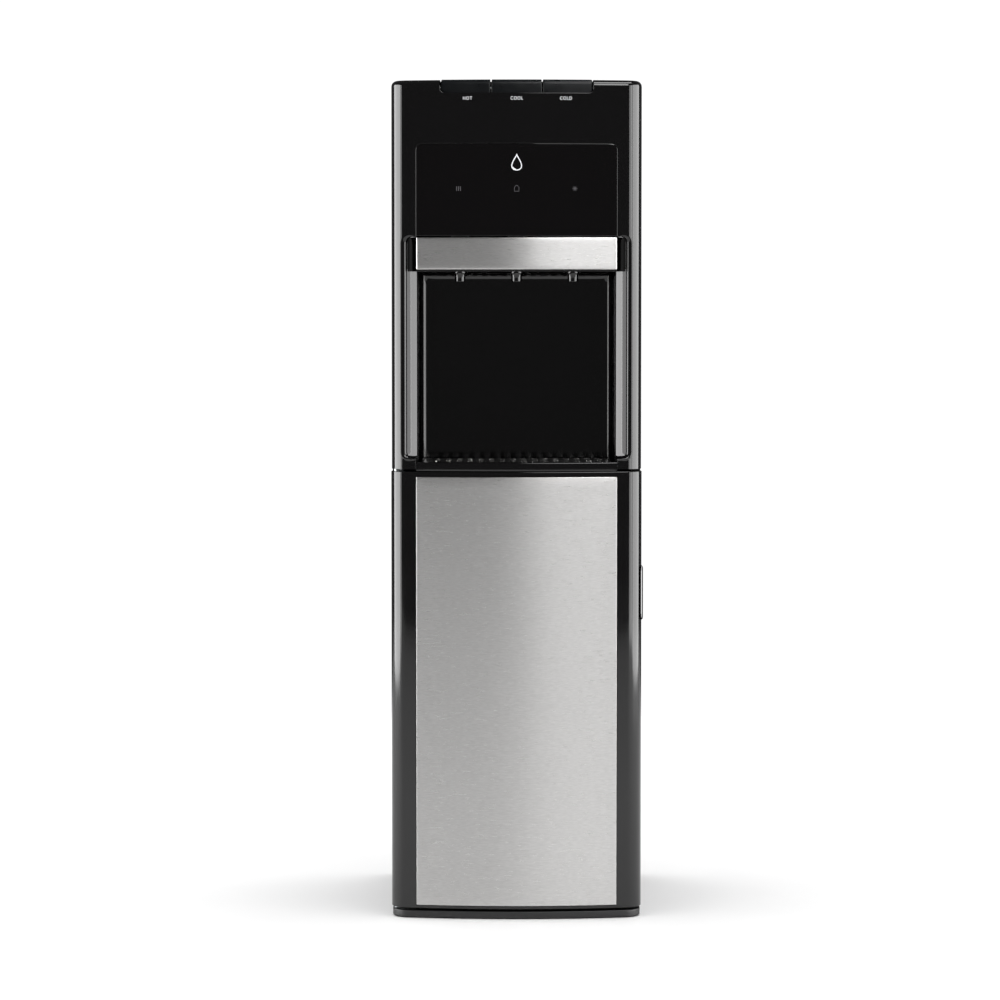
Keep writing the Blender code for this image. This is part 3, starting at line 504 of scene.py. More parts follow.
def moulded_polypropylene(name, colour, second, roughness=0.42):
    """Plain moulded polypropylene: waxy, with slight flow marks in its colour."""
    return textured(name, colour, roughness, (1.1, 0.02, 2.0), (25, colour, second), IOR=1.49)


def printed_ink(name, colour, second, glow=0.0):
    """Screen-printed ink: a thin matt film with a slight mottle from the mesh; glow adds a painted glow,
    light of the ink's own colour given off by the print.
    """
    made = textured(name, colour, 0.5, colours=(0.6, colour, second), IOR=1.5)
    if glow:
        shader = made.node_tree.nodes["Principled BSDF"]
        shader.inputs["Emission Color"].default_value = linear(colour)
        shader.inputs["Emission Strength"].default_value = glow
    return made


# High-gloss ABS: mirror-like, with the faint ripple of a polished tool and a haze from handling
GLOSS = textured("gloss_black_abs", "#090809", 0.07, (9, 0.006, 1.0), dulling=(60, 0.05, 0.10), IOR=1.53)
# Back-printed acrylic window: deeper and glassier than the ABS round it
WINDOW = textured("black_acrylic_window", "#050304", 0.04, dulling=(70, 0.03, 0.06), IOR=1.49)
# Spark-textured ABS: an even fine grain that spreads the light softly
SATIN = textured("spark_textured_black_abs", "#131314", 0.45, (0.9, 0.05, 2.0),
                 dulling=(40, 0.40, 0.52), IOR=1.53)
# Satin key caps: a cold blue-grey black against the warmer housing
KEYCAP = textured("satin_key_abs", "#080b0e", 0.30, (0.7, 0.012, 2.0), dulling=(15, 0.26, 0.36), IOR=1.32)
BRUSHED = brushed_stainless()
# Bright-annealed stainless pressings: tanks and pipes
BRIGHT = textured("bright_pressed_stainless", "#d2d1cf", 0.16, (3, 0.02, 3.0), dulling=(8, 0.12, 0.24),
                  Metallic=1.0)
# Drip grille: shallow dimples, which break the light of the alcove into small glints
HAMMERED = textured("hammered_stainless_grille", "#d6d5d3", 0.14, (2.2, 0.55, 1.0),
                    dulling=(6, 0.12, 0.20), Metallic=1.0)
# Powder-coated sheet steel: a soft sheen over fine orange peel
PAINTED = textured("black_powder_coated_steel", "#17171a", 0.38, (1.6, 0.06, 1.5),
                   dulling=(90, 0.33, 0.44), IOR=1.5)
# Zinc-plated sheet steel: pale blue-grey with the cloudy spangle of the bath
ZINC = textured("zinc_plated_steel", "#b4b8ba", 0.34, colours=(5, "#a2a7aa", "#c3c6c6"),
                dulling=(4, 0.26, 0.44), Metallic=1.0)
# Drawn copper tube, browned a little by handling and brazing heat
COPPER = textured("drawn_copper_tube", "#c9805c", 0.30, colours=(9, "#a9623f", "#d79a78"),
                  dulling=(6, 0.22, 0.40), Metallic=1.0)
# Moulded nitrile rubber: dead black, with a faint bloom on its skin
RUBBER = textured("moulded_black_rubber", "#17171a", 0.78, (0.6, 0.03, 2.0),
                  (12, "#141416", "#202022"), IOR=1.52)
FOAM = bead_foam()
GREY = moulded_polypropylene("grey_polypropylene", "#8d9093", "#999c9e")
BLUE = moulded_polypropylene("blue_polypropylene", "#2d5fa8", "#3569b4")
RED = moulded_polypropylene("red_rocker_plastic", "#a8201c", "#b62a24", 0.3)
# Silicone hose: milky, rubbery and slightly see-through
SILICONE = textured("translucent_silicone", "#dfe2e0", 0.35, (2, 0.02, 2.0), IOR=1.41,
                    Transmission_Weight=0.35)
BOARD = circuit_board()
# White print with a painted glow: it gives off light of its own colour, so it reads bright under any lamp
WHITE_INK_PAINTED_GLOW = printed_ink("white_ink_painted_glow", "#f0f1f4", "#dfe1e6", 0.5)
FAINT_INK = printed_ink("unlit_indicator_ink", "#5c5a5e", "#4c4a4e")


# --------------------------------------------------------------- front housing

# Levels between the legs of the housing's outer edge, and the points along each leg: up its side,
# then in along the roof to the notch
SIDE_STOPS = (0.600, 0.830, 0.870)
SIDE_COUNTS = (17, 40, 13, 20)
ROOF_COUNT = 28


def mouth_outline():
    """Left half of the edge round the tray slot, the alcove mouth and the window, from the bottom
    up to the middle of the window's top, in (distance across, level), and how much of the mouth's
    wide roll each point has: r r (3 - 2 r), where r rises along its lower corner and falls again
    along its upper one."""
    gap = 0.0003
    r, p = MOUTH_CORNER, PANEL_CORNER + gap
    top = PANEL_TOP + gap
    notch_out, notch_in = -NOTCH_HALF - 0.003, -NOTCH_HALF + 0.006
    left = outline(
        legs([(-TRAY_SLOT_HALF, FASCIA_LOW), (-TRAY_SLOT_HALF, ALCOVE_LOW),
              (-MOUTH_HALF + r, ALCOVE_LOW)], (5, 2)),
        bend((-MOUTH_HALF + r, ALCOVE_LOW + r), r, 270, 180, 10),
        run((-MOUTH_HALF, ALCOVE_LOW + r), (-MOUTH_HALF, ALCOVE_TOP - r), 40),
        bend((-MOUTH_HALF + r, ALCOVE_TOP - r), r, 180, 90, 10),
        legs([(-MOUTH_HALF + r, ALCOVE_TOP), (-PANEL_HOLE_HALF, ALCOVE_TOP),
              (-PANEL_HOLE_HALF, top - p)], (3, 20)),
        bend((-PANEL_HOLE_HALF + p, top - p), p, 180, 90, 10),
        legs([(-PANEL_HOLE_HALF + p, top), (notch_out, top), (notch_in, top), (0.0, top)], (18, 9, 13)),
        (0.0, top),
    )
    mouth_starts, mouth_widest, mouth_narrows, mouth_ends = 7, 17, 57, 69
    rise = np.interp(np.arange(len(left)), (mouth_starts, mouth_widest, mouth_narrows, mouth_ends),
                     (0.0, 1.0, 1.0, 0.0))
    return left, rise * rise * (3 - 2 * rise)


def outer_outline(lip=0.0):
    """Left half of the housing's outer edge, matched point for point with the mouth's; the notch
    for the keys is grown by a lip."""
    side, high, r = side_start(), ROOF - ROOF_ROLL, 0.006 + lip
    notch = float(around(NOTCH_HALF)) + lip
    low = NOTCH_LOW - lip
    return outline(
        legs([*[(-side, level) for level in (FASCIA_LOW, *SIDE_STOPS, high)], (-notch, high),
              (-notch, low + r)], (*SIDE_COUNTS, ROOF_COUNT, 1)),
        bend((-notch + r, low + r), r, 180, 270, 8),
        run((-notch + r, low), (0.0, low), 13), (0.0, low),
    )


def build_fascia():
    """Upper front housing. Its face is ruled between the mouth's edge and the outer edge; the
    mouth's edge is a quarter ellipse carried along it; the roof edge a quarter circle."""
    left, weight = mouth_outline()
    mouth = both_sides(left)
    weight = np.concatenate([weight, weight[-2::-1]])
    mouth = np.stack([around(mouth[:, 0]), mouth[:, 1]], axis=1)
    outer, true = both_sides(outer_outline(NOTCH_LIP)), both_sides(outer_outline())
    side_end = sum(SIDE_COUNTS)
    notch_start = side_end + ROOF_COUNT
    in_notch = slice(notch_start, len(outer) - notch_start)

    out = left_of(headings(mouth))
    out[0], out[-1] = (-1.0, 0.0), (1.0, 0.0)
    width = THIN_EDGE + weight * (MOUTH_ROLL - THIN_EDGE)
    turn = quarter(11)[:, None]
    offset = width * (1 - np.sin(turn))
    inset = np.minimum(width, MOUTH_DEPTH) * (1 - np.cos(turn))
    return_depth = 0.0034 + weight * 0.0027
    offset = np.concatenate([offset, np.zeros((1, len(mouth)))])
    inset = np.concatenate([inset, np.maximum(return_depth, inset[-1] + 0.0003)[None]])
    lip = mouth[None] + offset[..., None] * out[None]
    edge = wrap(lip[..., 0], lip[..., 1], inset)
    ruled = blend(lip[0], outer, np.linspace(0, 1, 25))
    face = wrap(ruled[..., 0], ruled[..., 1])

    side = side_start()
    back = side + FASCIA_BACK_Y - plan_values(HALF_WIDTH)[2]
    to_back = np.linspace(-back, -side, 4)
    flank = wrap(to_back[None, :], outer_outline()[:side_end + 1, 1][:, None])
    share = np.sin(quarter(7))
    sink = NOTCH_LIP * (1 - np.sqrt(np.maximum(1 - share ** 2, 0)))[:, None]
    curl = blend(outer[in_notch], true[in_notch], share)
    notch = np.concatenate([wrap(curl[..., 0], curl[..., 1], sink),
                            wrap(true[in_notch, 0], true[in_notch, 1], 2.2 * MM)[None]])
    top_run = np.concatenate([to_back[:-1], outer[side_end:notch_start + 1, 0]])
    climb = quarter(9)[:, None]
    roll = wrap(top_run[None, :], ROOF - ROOF_ROLL * (1 - np.sin(climb)), ROOF_ROLL * (1 - np.cos(climb)))
    rim = roll[-1]
    line = surface(np.linspace(rim[0, 0], rim[-1, 0], len(rim)), FASCIA_BACK_Y, ROOF)
    flat = blend(rim, line, np.linspace(0, 1, 4))
    patches = [edge, face, notch, flank, roll, flat, mirrored(flank), mirrored(roll), mirrored(flat)]
    make_piece("upper_front_housing", patches, GLOSS, "cabinet", ["front_fascia"],
               facing=(0, -1, 0.2), wall=1.6 * MM)


def bowed_sheet(half, low, high, radius, proud=0.0, corner=0.0, columns=40, rows=24):
    """Sheet on the bow whose edges roll back. The half width falls by r - sqrt(r2 - h2) over the
    upper corners, and the inset is the sum of the rolls at the sides and at the ends."""
    level = edge_steps(low, high, radius, rows)
    if corner:
        rise = high - corner + corner * np.sin(quarter(13))
        level = np.unique(np.concatenate([level[level < high - corner], rise]).round(7))
    over = np.clip(level - (high - corner), 0, corner) if corner else np.zeros_like(level)
    narrow = half - (corner - np.sqrt(np.maximum(corner**2 - over**2, 0)))
    station = edge_steps(-1.0, 1.0, radius / half, columns)
    x = station[None, :] * narrow[:, None]
    to_side = narrow[:, None] - np.abs(x)
    to_end = np.minimum(level - low, high - level)[:, None]
    inset = rolled(to_side, radius) + rolled(to_end, radius) - proud
    return wrap(around(x), level[:, None], np.minimum(inset, radius - proud))


def build_window_and_band():
    window = bowed_sheet(BAND_HALF, PANEL_LOW, PANEL_TOP, 0.5 * MM, proud=0.3 * MM, corner=PANEL_CORNER)
    make_piece("control_window", [window], WINDOW, "cabinet", ["control_panel"],
               facing=(0, -1, 0), wall=2.4 * MM)
    band = bowed_sheet(BAND_HALF - 0.0002, VISOR_LOW, VISOR_TOP, 1.6 * MM, columns=48, rows=8)
    make_piece("visor_trim", [band], BRUSHED, "cabinet", ["visor_band"],
               facing=(0, -1, 0), wall=0.5 * MM)


def bowed_loop(half, inset, back_y):
    """Anticlockwise plan: the bow at an inset between straight sides, closed by a straight back."""
    x = np.linspace(-half, half, 41)
    front = wrap(around(x), 0.0, inset)[:, :2]
    return outline(front, (half, back_y), (-half, back_y))


def rolled_stack(low, high, radius):
    """Levels and insets of an upright wall whose lower and upper edges are quarter circles."""
    turn = quarter(6)
    fall, rise = radius * (1 - np.sin(turn)), radius * (1 - np.cos(turn))
    return np.concatenate([low + rise, high - rise[::-1]]), np.concatenate([fall, fall[::-1]])


def solid_from_loop(name, loop, low, high, radius, finish, body, nodes):
    """Closed piece that stands on a plan outline, with rolled lower and upper edges."""
    levels, insets = rolled_stack(low, high, radius)
    make_piece(name, [stacked(loop, levels, insets)], finish, body, nodes, fill=True)


def build_spouts():
    loop = bowed_loop(half=0.1232, inset=0.0013, back_y=-0.1366)
    solid_from_loop("spout_cover", loop, 0.8045, VISOR_TOP, 0.8 * MM, GLOSS, "cabinet",
                    ["spout_housing"])
    low, top = 0.7920, 0.8150
    for name, side in TAPS:
        profile = [
            (4.0 * MM, top), (6.0 * MM, top), (6.0 * MM, 0.8042), (7.9 * MM, 0.8042),
            (8.2 * MM, 0.8039), (8.2 * MM, 0.8024), (7.9 * MM, 0.8020), (7.1 * MM, 0.8013),
            (6.85 * MM, 0.8005), (6.4 * MM, low + 0.4 * MM), (6.1 * MM, low), (4.7 * MM, low),
            (4.4 * MM, low + 0.4 * MM), (4.0 * MM, top),
        ]
        shape = lathe(profile, (side * TAP_SPACING, TAP_Y, 0.0))
        make_piece(f"{name}_spout", [shape], GLOSS, "cabinet", [f"{name}_nozzle"])


def build_alcove():
    """Lining of the alcove: two flat cheeks that slope in from the mouth, then a tunnel whose
    upper and side corners at the back are quarter rounds, from insets r - r cos and depths r sin."""
    r = MOUTH_CORNER
    sleeve_y, cheek_front, cheek_back = -0.1652, -0.1618, -0.1536
    tunnel_front = cheek_back + 0.0006
    inner_half, slot = TUNNEL_HALF + 0.0012, TRAY_SLOT_HALF
    small, slot_gap = 0.0045, 0.0004
    first = outline(
        run((-MOUTH_HALF, ALCOVE_TOP), (-MOUTH_HALF, ALCOVE_LOW + r), 30),
        bend((-MOUTH_HALF + r, ALCOVE_LOW + r), r, 180, 270, 12), (-slot + slot_gap, ALCOVE_LOW),
    )
    second = outline(
        run((-inner_half, ALCOVE_TOP), (-inner_half, ALCOVE_LOW + small), 30),
        bend((-inner_half + small, ALCOVE_LOW + small), small, 180, 215, 12),
        (-inner_half + 0.0010, ALCOVE_LOW + 0.0012),
    )
    ruled = blend(first, second, (0.0, 0.06, 0.94, 1.0))
    depth = np.array([cheek_front, cheek_front + 0.0003, cheek_back - 0.0002, tunnel_front])
    sleeve = surface(first[:, 0], sleeve_y, first[:, 1])
    cheek = np.concatenate([sleeve[None], surface(ruled[..., 0], depth[:, None], ruled[..., 1])])
    floor = TRAY_LOW - 0.0004
    fillet, side_fillet = 0.009, 0.0118
    turn = quarter(13)
    inset = np.concatenate([[0.0] * 3, fillet * (1 - np.cos(turn))])
    depths = np.concatenate([np.linspace(tunnel_front, ALCOVE_BACK_Y - fillet, 4)[:3],
                             ALCOVE_BACK_Y - fillet + fillet * np.sin(turn)])
    step = np.linspace(0, 1, 25)
    half = (TUNNEL_HALF - inset * side_fillet / fillet)[:, None]
    top = (ALCOVE_CEILING - inset)[:, None]
    left_z = floor + (top - floor) * step[None, :]
    top_x = (-half + 2 * half * step[None, :])[:, 1:-1]
    up = np.ones(left_z.shape)
    arch_x = np.concatenate([-half * up, top_x, half * up], axis=1)
    arch_z = np.concatenate([left_z, top * np.ones(top_x.shape), left_z[:, ::-1]], axis=1)
    tunnel = surface(arch_x, depths[:, None], arch_z)
    back = surface((-half[-1] + 2 * half[-1] * step)[None, :], ALCOVE_BACK_Y,
                   (floor + (top[-1] - floor) * step)[:, None])
    patches = [cheek, mirrored(cheek), tunnel, back]
    make_piece("alcove_lining", patches, GLOSS, "cabinet", ["alcove_liner"],
               facing=(0, -1, 0), wall=1.2 * MM, sharp=40)


def build_keys():
    """Each key is a profile, upright then a quarter round then level, carried along the bow; its
    ends fall away square to the surface by a small roll."""
    roll, inset, end_roll = 5.5 * MM, 2.8 * MM, 0.9 * MM
    back_y = -0.1368
    upright = np.array([1.0185, 1.0230, 1.0280])
    turn = quarter(10)
    deep = np.concatenate([np.full(3, inset), inset + roll * (1 - np.cos(turn))])[:, None]
    level = np.concatenate([upright, KEY_TOP - roll * (1 - np.sin(turn))])[:, None]
    lean_in = np.concatenate([np.ones(3), np.cos(turn)])[:, None]
    lean_up = np.concatenate([np.zeros(3), np.sin(turn)])[:, None]
    spans = {"hot": (-0.0935, -0.0326), "cool": (-0.0310, 0.0310), "cold": (0.0326, 0.0935)}
    for name, (left, right) in spans.items():
        x = edge_steps(left, right, end_roll, 20)
        fall = rolled(np.minimum(x - left, right - x), end_roll)
        front = wrap(around(x)[None, :], level - lean_up * fall[None, :], deep + lean_in * fall[None, :])
        line = front[-1].copy()
        line[:, 1] = back_y
        top = blend(front[-1], line, np.linspace(0, 1, 5))
        make_piece(f"{name}_key_cap", [front, top], KEYCAP, f"{name}_key",
                   [f"{name}_key"], facing=(0, -1, 1), wall=1.8 * MM)


def build_tray():
    """Tray: a bowed front bar, and a basin whose section steps in from its rim to a ledge for the
    grille and down to a rounded well."""
    loop = bowed_loop(BAND_HALF, inset=0.0, back_y=-0.1600)
    solid_from_loop("tray_front", loop, TRAY_LOW, TRAY_TOP, 1.2 * MM, GLOSS, "drip_tray",
                    ["drip_tray"])
    half, front, back = 0.1195, -0.1640, ALCOVE_BACK_Y - 0.0105
    loop = rounded_box(-half, half, front, back, radius=0.004, count=6, side=14)
    top, low = TRAY_TOP - 0.0004, TRAY_LOW
    round_off, rim_width, ledge, ledge_width = 0.0004, 0.0020, top - 0.0038, 0.0036
    section = [(0.0, low), (0.0, top - round_off), (round_off, top), (rim_width - round_off, top),
               (rim_width, top - round_off), (rim_width, ledge), (rim_width + ledge_width, ledge - 0.0002),
               (0.0060, ledge - 0.0006), (0.0064, low + 0.0030), (0.0080, low + 0.0016)]
    inset, level = np.array(section).T
    make_piece("tray_basin", [stacked(loop, level, inset)], GLOSS, "drip_tray", fill=True)


def build_grille():
    """Pressed drip grille: a sheet whose height swells between the slots as a raised cosine, with
    the faces over the slots left out."""
    half, front, back = 0.1169, -0.1598, -0.0431
    pitch, slot_half, slot_long, slot_step = 0.0135, 0.0030, 0.022, 0.029
    slot_left = -0.0982 + pitch * np.arange(16) - 0.0030
    side_margin, end_margin = 0.75 * MM, 0.7 * MM
    edges = np.sort(np.concatenate([slot_left, slot_left + 2 * slot_half]))
    crests = edges[1:-1:2] + pitch / 2 - slot_half
    x = np.unique(np.concatenate([(-half, half), edges, edges + side_margin, edges - side_margin,
                                  crests]).round(6))
    x = x[np.abs(x) <= half]
    near = front + 0.0028 + slot_step * np.arange(4)
    ends = np.sort(np.concatenate([near, near + slot_long]))
    y = np.unique(np.concatenate([ends, ends - end_margin, ends + end_margin,
                                  np.linspace(front, back, 40)]).round(6))
    y = y[(y >= front) & (y <= back)]
    middles = slot_left + slot_half
    mid_x, mid_y = (x[:-1] + x[1:]) / 2, (y[:-1] + y[1:]) / 2
    in_x = (np.abs(mid_x[:, None] - middles[None, :]) < slot_half).any(axis=1)
    in_y = (np.abs(mid_y[:, None] - (near + slot_long / 2)[None, :]) < slot_long / 2).any(axis=1)
    keep = ~(in_y[:, None] & in_x[None, :])
    nearest = np.abs(x[:, None] - middles[None, :]).min(axis=1)
    swell = np.cos(np.clip((nearest - pitch / 2) / (pitch / 2 - slot_half), -1, 1) * math.pi / 2) ** 2
    rim = np.minimum(half - np.abs(x)[None, :], np.minimum(y - front, back - y)[:, None])
    level = TRAY_TOP - 0.0010 + 0.9 * MM * swell[None, :] - rolled(rim, 1.0 * MM)
    sheet = surface(x[None, :], y[:, None], level)
    make_piece("grille_plate", [sheet], HAMMERED, "drip_grille", ["drip_grille"],
               facing=(0, 0, 1), wall=2.8 * MM, keep=keep)


# ------------------------------------------------------------------------ door

# The steel sheet and its shallow seat in the frame, and the finger pocket in the rear right edge
SHEET_LOW = 0.0165
SHEET_HIGH = 0.5505
SEAT_DEPTH = 1.1 * MM
SEAT_STEP = 0.0003
POCKET_LOW = 0.378
POCKET_HIGH = 0.433
POCKET_STEP = 0.0001
POCKET_FRONT_Y = -0.1496
POCKET_FLOOR_X = 0.1480


def door_loop():
    """Anticlockwise plan of the door frame: the bowed front, the sides, a quarter round about the
    hinge at the rear left, and a shallow recess across the back for the inner panel."""
    side = side_start(DOOR_HALF_WIDTH)
    lean = plan_values(DOOR_HALF_WIDTH)[0]
    bow = BOW_RADIUS * lean
    edge = float(around(SKIN_HALF, DOOR_HALF_WIDTH))
    half_front = np.concatenate([np.linspace(edge + SEAT_STEP, bow, 4), np.linspace(bow, side, 14)[1:]])
    stations = np.concatenate([-half_front[::-1], np.linspace(-edge, edge, 41), half_front])
    front = wrap(stations, 0.0, 0.0, DOOR_HALF_WIDTH)[:, :2]
    half, flange, small, large = DOOR_HALF_WIDTH, 0.1438, 0.001, 0.007
    recess_y = DOOR_BACK_Y - 0.0027
    loop = outline(
        front, run((half, front[-1, 1] + small), (half, DOOR_BACK_Y - small), 3),
        bend((half - small, DOOR_BACK_Y - small), small, 0, 90, 3),
        (half - small, DOOR_BACK_Y), (flange + 0.0042, DOOR_BACK_Y), (flange, DOOR_BACK_Y),
        (flange, recess_y), (-flange, recess_y), (-flange, DOOR_BACK_Y),
        bend((-half + large, DOOR_BACK_Y - large), large, 90, 180, 9),
    )
    return loop, len(stations)


def build_door():
    """The frame's wall follows its plan from level to level; behind the steel sheet it is set in,
    and a finger pocket is pushed into the rear right edge."""
    loop, front_count = door_loop()
    levels, insets = rolled_stack(DOOR_LOW, DOOR_TOP, 1.0 * MM)
    extra = [SHEET_LOW - SEAT_STEP, SHEET_LOW, SHEET_HIGH, SHEET_HIGH + SEAT_STEP, POCKET_LOW,
             POCKET_LOW + POCKET_STEP, POCKET_HIGH - POCKET_STEP, POCKET_HIGH]
    levels_all = np.sort(np.concatenate([levels, extra, np.linspace(0.03, 0.54, 18)]))
    order = np.argsort(levels)
    inset_all = np.interp(levels_all, levels[order], insets[order])
    inset = np.repeat(inset_all[:, None], len(loop), axis=1)
    in_level = (levels_all >= SHEET_LOW - 1e-6) & (levels_all <= SHEET_HIGH + 1e-6)
    in_width = (np.abs(loop[:, 0]) <= SKIN_HALF + 1e-5) & (np.arange(len(loop)) < front_count)
    inset = np.where(in_level[:, None] & in_width[None, :], SEAT_DEPTH, inset)
    rows = stacked(loop, levels_all, inset)
    in_pocket = (rows[..., 1] >= POCKET_FRONT_Y) & (rows[..., 2] > POCKET_LOW + POCKET_STEP / 2)
    in_pocket &= rows[..., 2] < POCKET_HIGH - POCKET_STEP / 2
    rows[..., 0] = np.where(in_pocket, np.minimum(rows[..., 0], POCKET_FLOOR_X), rows[..., 0])
    make_piece("door_moulding", [rows], GLOSS, "door", ["door_frame"], fill=True)

    sheet = bowed_sheet(SKIN_HALF, SHEET_LOW, SHEET_HIGH, 0.8 * MM, columns=56, rows=40)
    make_piece("door_sheet", [sheet], BRUSHED, "door", ["door_skin"],
               facing=(0, -1, 0), wall=0.35 * MM)

    front, back, low, high, roll = -0.1567, -0.1450, 0.3720, 0.4390, 1.1 * MM
    y = edge_steps(front, back, roll, 6)[None, :]
    z = edge_steps(low, high, roll * 3, 10)[:, None]
    fall = rolled(np.minimum(y - front, back - y), roll)
    fall = fall + rolled(np.minimum(z - low, high - z), roll * 3) * 0.5
    grip = surface(0.1575 - np.minimum(fall, 0.0022), y, z)
    make_piece("door_grip", [grip], SATIN, "door", ["door_pull"],
               facing=(1, 0, 0), wall=0.7 * MM)


# ----------------------------------------------------------------- base, cover

def cabinet_loop(half, inset, back_y):
    """Anticlockwise plan of the cabinet, with small rear corners."""
    side, bow = side_start(), 0.1374
    corner = np.linspace(bow, side, 13)[1:]
    stations = np.concatenate([-corner[::-1], np.linspace(-bow, bow, 33), corner])
    front = wrap(stations, 0.0, inset)[:, :2]
    front[:, 0] = np.clip(front[:, 0], -half, half)
    r = 0.002
    return outline(front, run((half, front[-1, 1] + 0.01), (half, back_y - r), 12),
                   bend((half - r, back_y - r), r, 0, 90, 4), (half - r, back_y), (-half + r, back_y),
                   bend((-half + r, back_y - r), r, 90, 180, 4),
                   run((-half, back_y - r), (-half, front[0, 1] + 0.01), 12))


def build_base():
    loop = cabinet_loop(half=0.1545, inset=0.0005, back_y=0.150)
    solid_from_loop("plinth_moulding", loop, PLINTH_LOW, PLINTH_TOP, 1.0 * MM, SATIN, "cabinet",
                    ["base_plinth"])
    places = {"front_left": (-1, -0.118), "front_right": (1, -0.118),
              "rear_left": (-1, 0.125), "rear_right": (1, 0.125)}
    profile = np.array([(0.0, 0.0), (11.6, 0.0), (12.6, 0.5), (13.0, 1.4), (12.8, 6.0), (12.3, 6.6),
                        (0.0, 6.7)]) * MM
    for corner, (side, y) in places.items():
        make_piece(f"rubber_foot_{corner}", [lathe(profile, (side * 0.120, y, 0.0))], RUBBER, "cabinet",
                   [f"foot_{corner}"])


def build_cover():
    """Top cover: a wall and quarter-round edge carried round three sides, and a flat roof ruled
    between its left and right halves."""
    r = 0.003
    half, front, back = HALF_WIDTH, COVER_FRONT_Y, COVER_BACK_Y
    left = outline(run((-half, front), (-half, back - r), 12), bend((-half + r, back - r), r, 180, 90, 6),
                   run((-half + r, back), (0.0, back), 12), (0.0, back))
    path = both_sides(left)
    out = left_of(headings(path))
    turn = quarter(9)
    level = np.concatenate([[COVER_LOW], ROOF - ROOF_ROLL * (1 - np.sin(turn))])
    inset = np.concatenate([[0.0], ROOF_ROLL * (1 - np.cos(turn))])
    flat = path[None] - inset[:, None, None] * out[None]
    x = np.clip(flat[..., 0], -half + inset[:, None], half - inset[:, None])
    wall = surface(x, np.minimum(flat[..., 1], (back - inset)[:, None]), level[:, None])
    rim = wall[-1]
    roof = blend(rim[:len(left)], rim[::-1][:len(left)], np.linspace(0, 1, 13)).swapaxes(0, 1)
    make_piece("top_moulding", [wall, roof], SATIN, "cabinet", ["top_cover"],
               facing=(0, 0, 1))


# ------------------------------------------------------------ marks on the front

INK_THICKNESS = 0.05 * MM
ON_WINDOW = 0.36 * MM


def on_front(mesh, x, z, proud, narrow):
    """Lays a flat mesh, drawn in X and Y, on the bowed front about a point."""
    count = len(mesh.vertices)
    points = np.empty(count * 3, np.float32)
    mesh.vertices.foreach_get("co", points)
    points = points.reshape(-1, 3).astype(float)
    placed = wrap(around(points[:, 0] * narrow + x), points[:, 1] + z, -proud - points[:, 2])
    mesh.vertices.foreach_set("co", placed.astype(np.float32).ravel())
    mesh.update()
    return mesh


def flat_shape(name, loops):
    """Flat filled outlines as a thin mesh; a loop inside another is a hole."""
    curve = bpy.data.curves.new(name, "CURVE")
    curve.dimensions = "2D"
    curve.fill_mode = "BOTH"
    curve.extrude = INK_THICKNESS / 2
    for loop in loops:
        spline = curve.splines.new("POLY")
        spline.points.add(len(loop) - 1)
        padded = np.zeros((len(loop), 4), np.float32)
        padded[:, :2], padded[:, 3] = loop, 1.0
        spline.points.foreach_set("co", padded.ravel())
        spline.use_cyclic_u = True
    return mesh_of(curve)


def mesh_of(curve):
    """The mesh of a curve or a text, which is removed afterwards."""
    helper = bpy.data.objects.new("outline_helper", curve)
    bpy.context.scene.collection.objects.link(helper)
    bpy.context.view_layer.update()
    mesh = bpy.data.meshes.new_from_object(helper.evaluated_get(bpy.context.evaluated_depsgraph_get()))
    bpy.data.objects.remove(helper, do_unlink=True)
    bpy.data.curves.remove(curve)
    return mesh


def add_mark(name, mesh, x, z, finish, proud=0.06 * MM, narrow=1.0):
    finish_piece(name, on_front(mesh, x, z, proud, narrow), finish, "cabinet")


def stroke(points, width, closed=False):
    """Outline of a line of even width: the points moved half a width to either side."""
    points = np.array(points, float)
    side = left_of(headings(points, closed)) * width / 2
    if closed:
        return [points + side, (points - side)[::-1]]
    return [np.concatenate([points + side, (points - side)[::-1]])]


def build_marks():
    """Key labels and a plain water drop in white ink with a painted glow, and three unlit indicators: heat,
    bottle and cold.
    """
    for word, side in (("HOT", -1), ("COOL", 0), ("COLD", 1)):
        name = f"{word.lower()}_label"
        text = bpy.data.curves.new(name, "FONT")
        text.body = word
        text.size = 5.8 * MM
        text.align_x = "CENTER"
        text.align_y = "CENTER"
        text.extrude = 0.03 * MM
        text.space_character = 1.2
        add_mark(name, mesh_of(text), side * 0.0605, 1.0165, WHITE_INK_PAINTED_GLOW, narrow=0.85)

    turn = np.linspace(0, 2 * math.pi, 65)[:-1]
    swell = np.stack([9.5 * MM * np.sin(turn) * np.sin(turn / 2) ** 1.6, 10.5 * MM * np.cos(turn)], axis=1)
    inner = swell * 0.82 + np.array([0.0, -0.7 * MM])
    glint = np.radians(np.linspace(200, 262, 12))
    glint = np.stack([4.6 * MM * np.cos(glint), -4.6 * MM + 4.4 * MM * np.sin(glint)], axis=1)
    drop = flat_shape("drop_emblem", [swell, inner[::-1], *stroke(glint, 0.9 * MM)])
    add_mark("drop_emblem", drop, 0.0, 0.9385, WHITE_INK_PAINTED_GLOW, ON_WINDOW)

    def indicator(name, loops, side):
        add_mark(name, flat_shape(name, loops), side * 0.0715, 0.9060, FAINT_INK, ON_WINDOW)

    line = 0.7 * MM
    indicator("heat_indicator",
              [np.array([(x - 0.5, -2.8), (x + 0.5, -2.8), (x + 0.5, 2.8), (x - 0.5, 2.8)]) * MM
               for x in (-2.4, 0.0, 2.4)], -1)
    bottle = np.array([(-2.8, -3.4), (2.8, -3.4), (2.8, 1.6), (1.4, 2.6), (1.4, 3.8), (-1.4, 3.8),
                       (-1.4, 2.6), (-2.8, 1.6)]) * MM
    indicator("bottle_indicator", stroke(bottle, line, closed=True), 0)
    for number, angle in enumerate(np.radians((0.0, 60.0, 120.0))):
        along = np.array([math.cos(angle), math.sin(angle)])
        indicator(f"cold_indicator_{number}", stroke([-3.2 * MM * along, 3.2 * MM * along], line), 1)


# ------------------------------------------------------------------- rear face

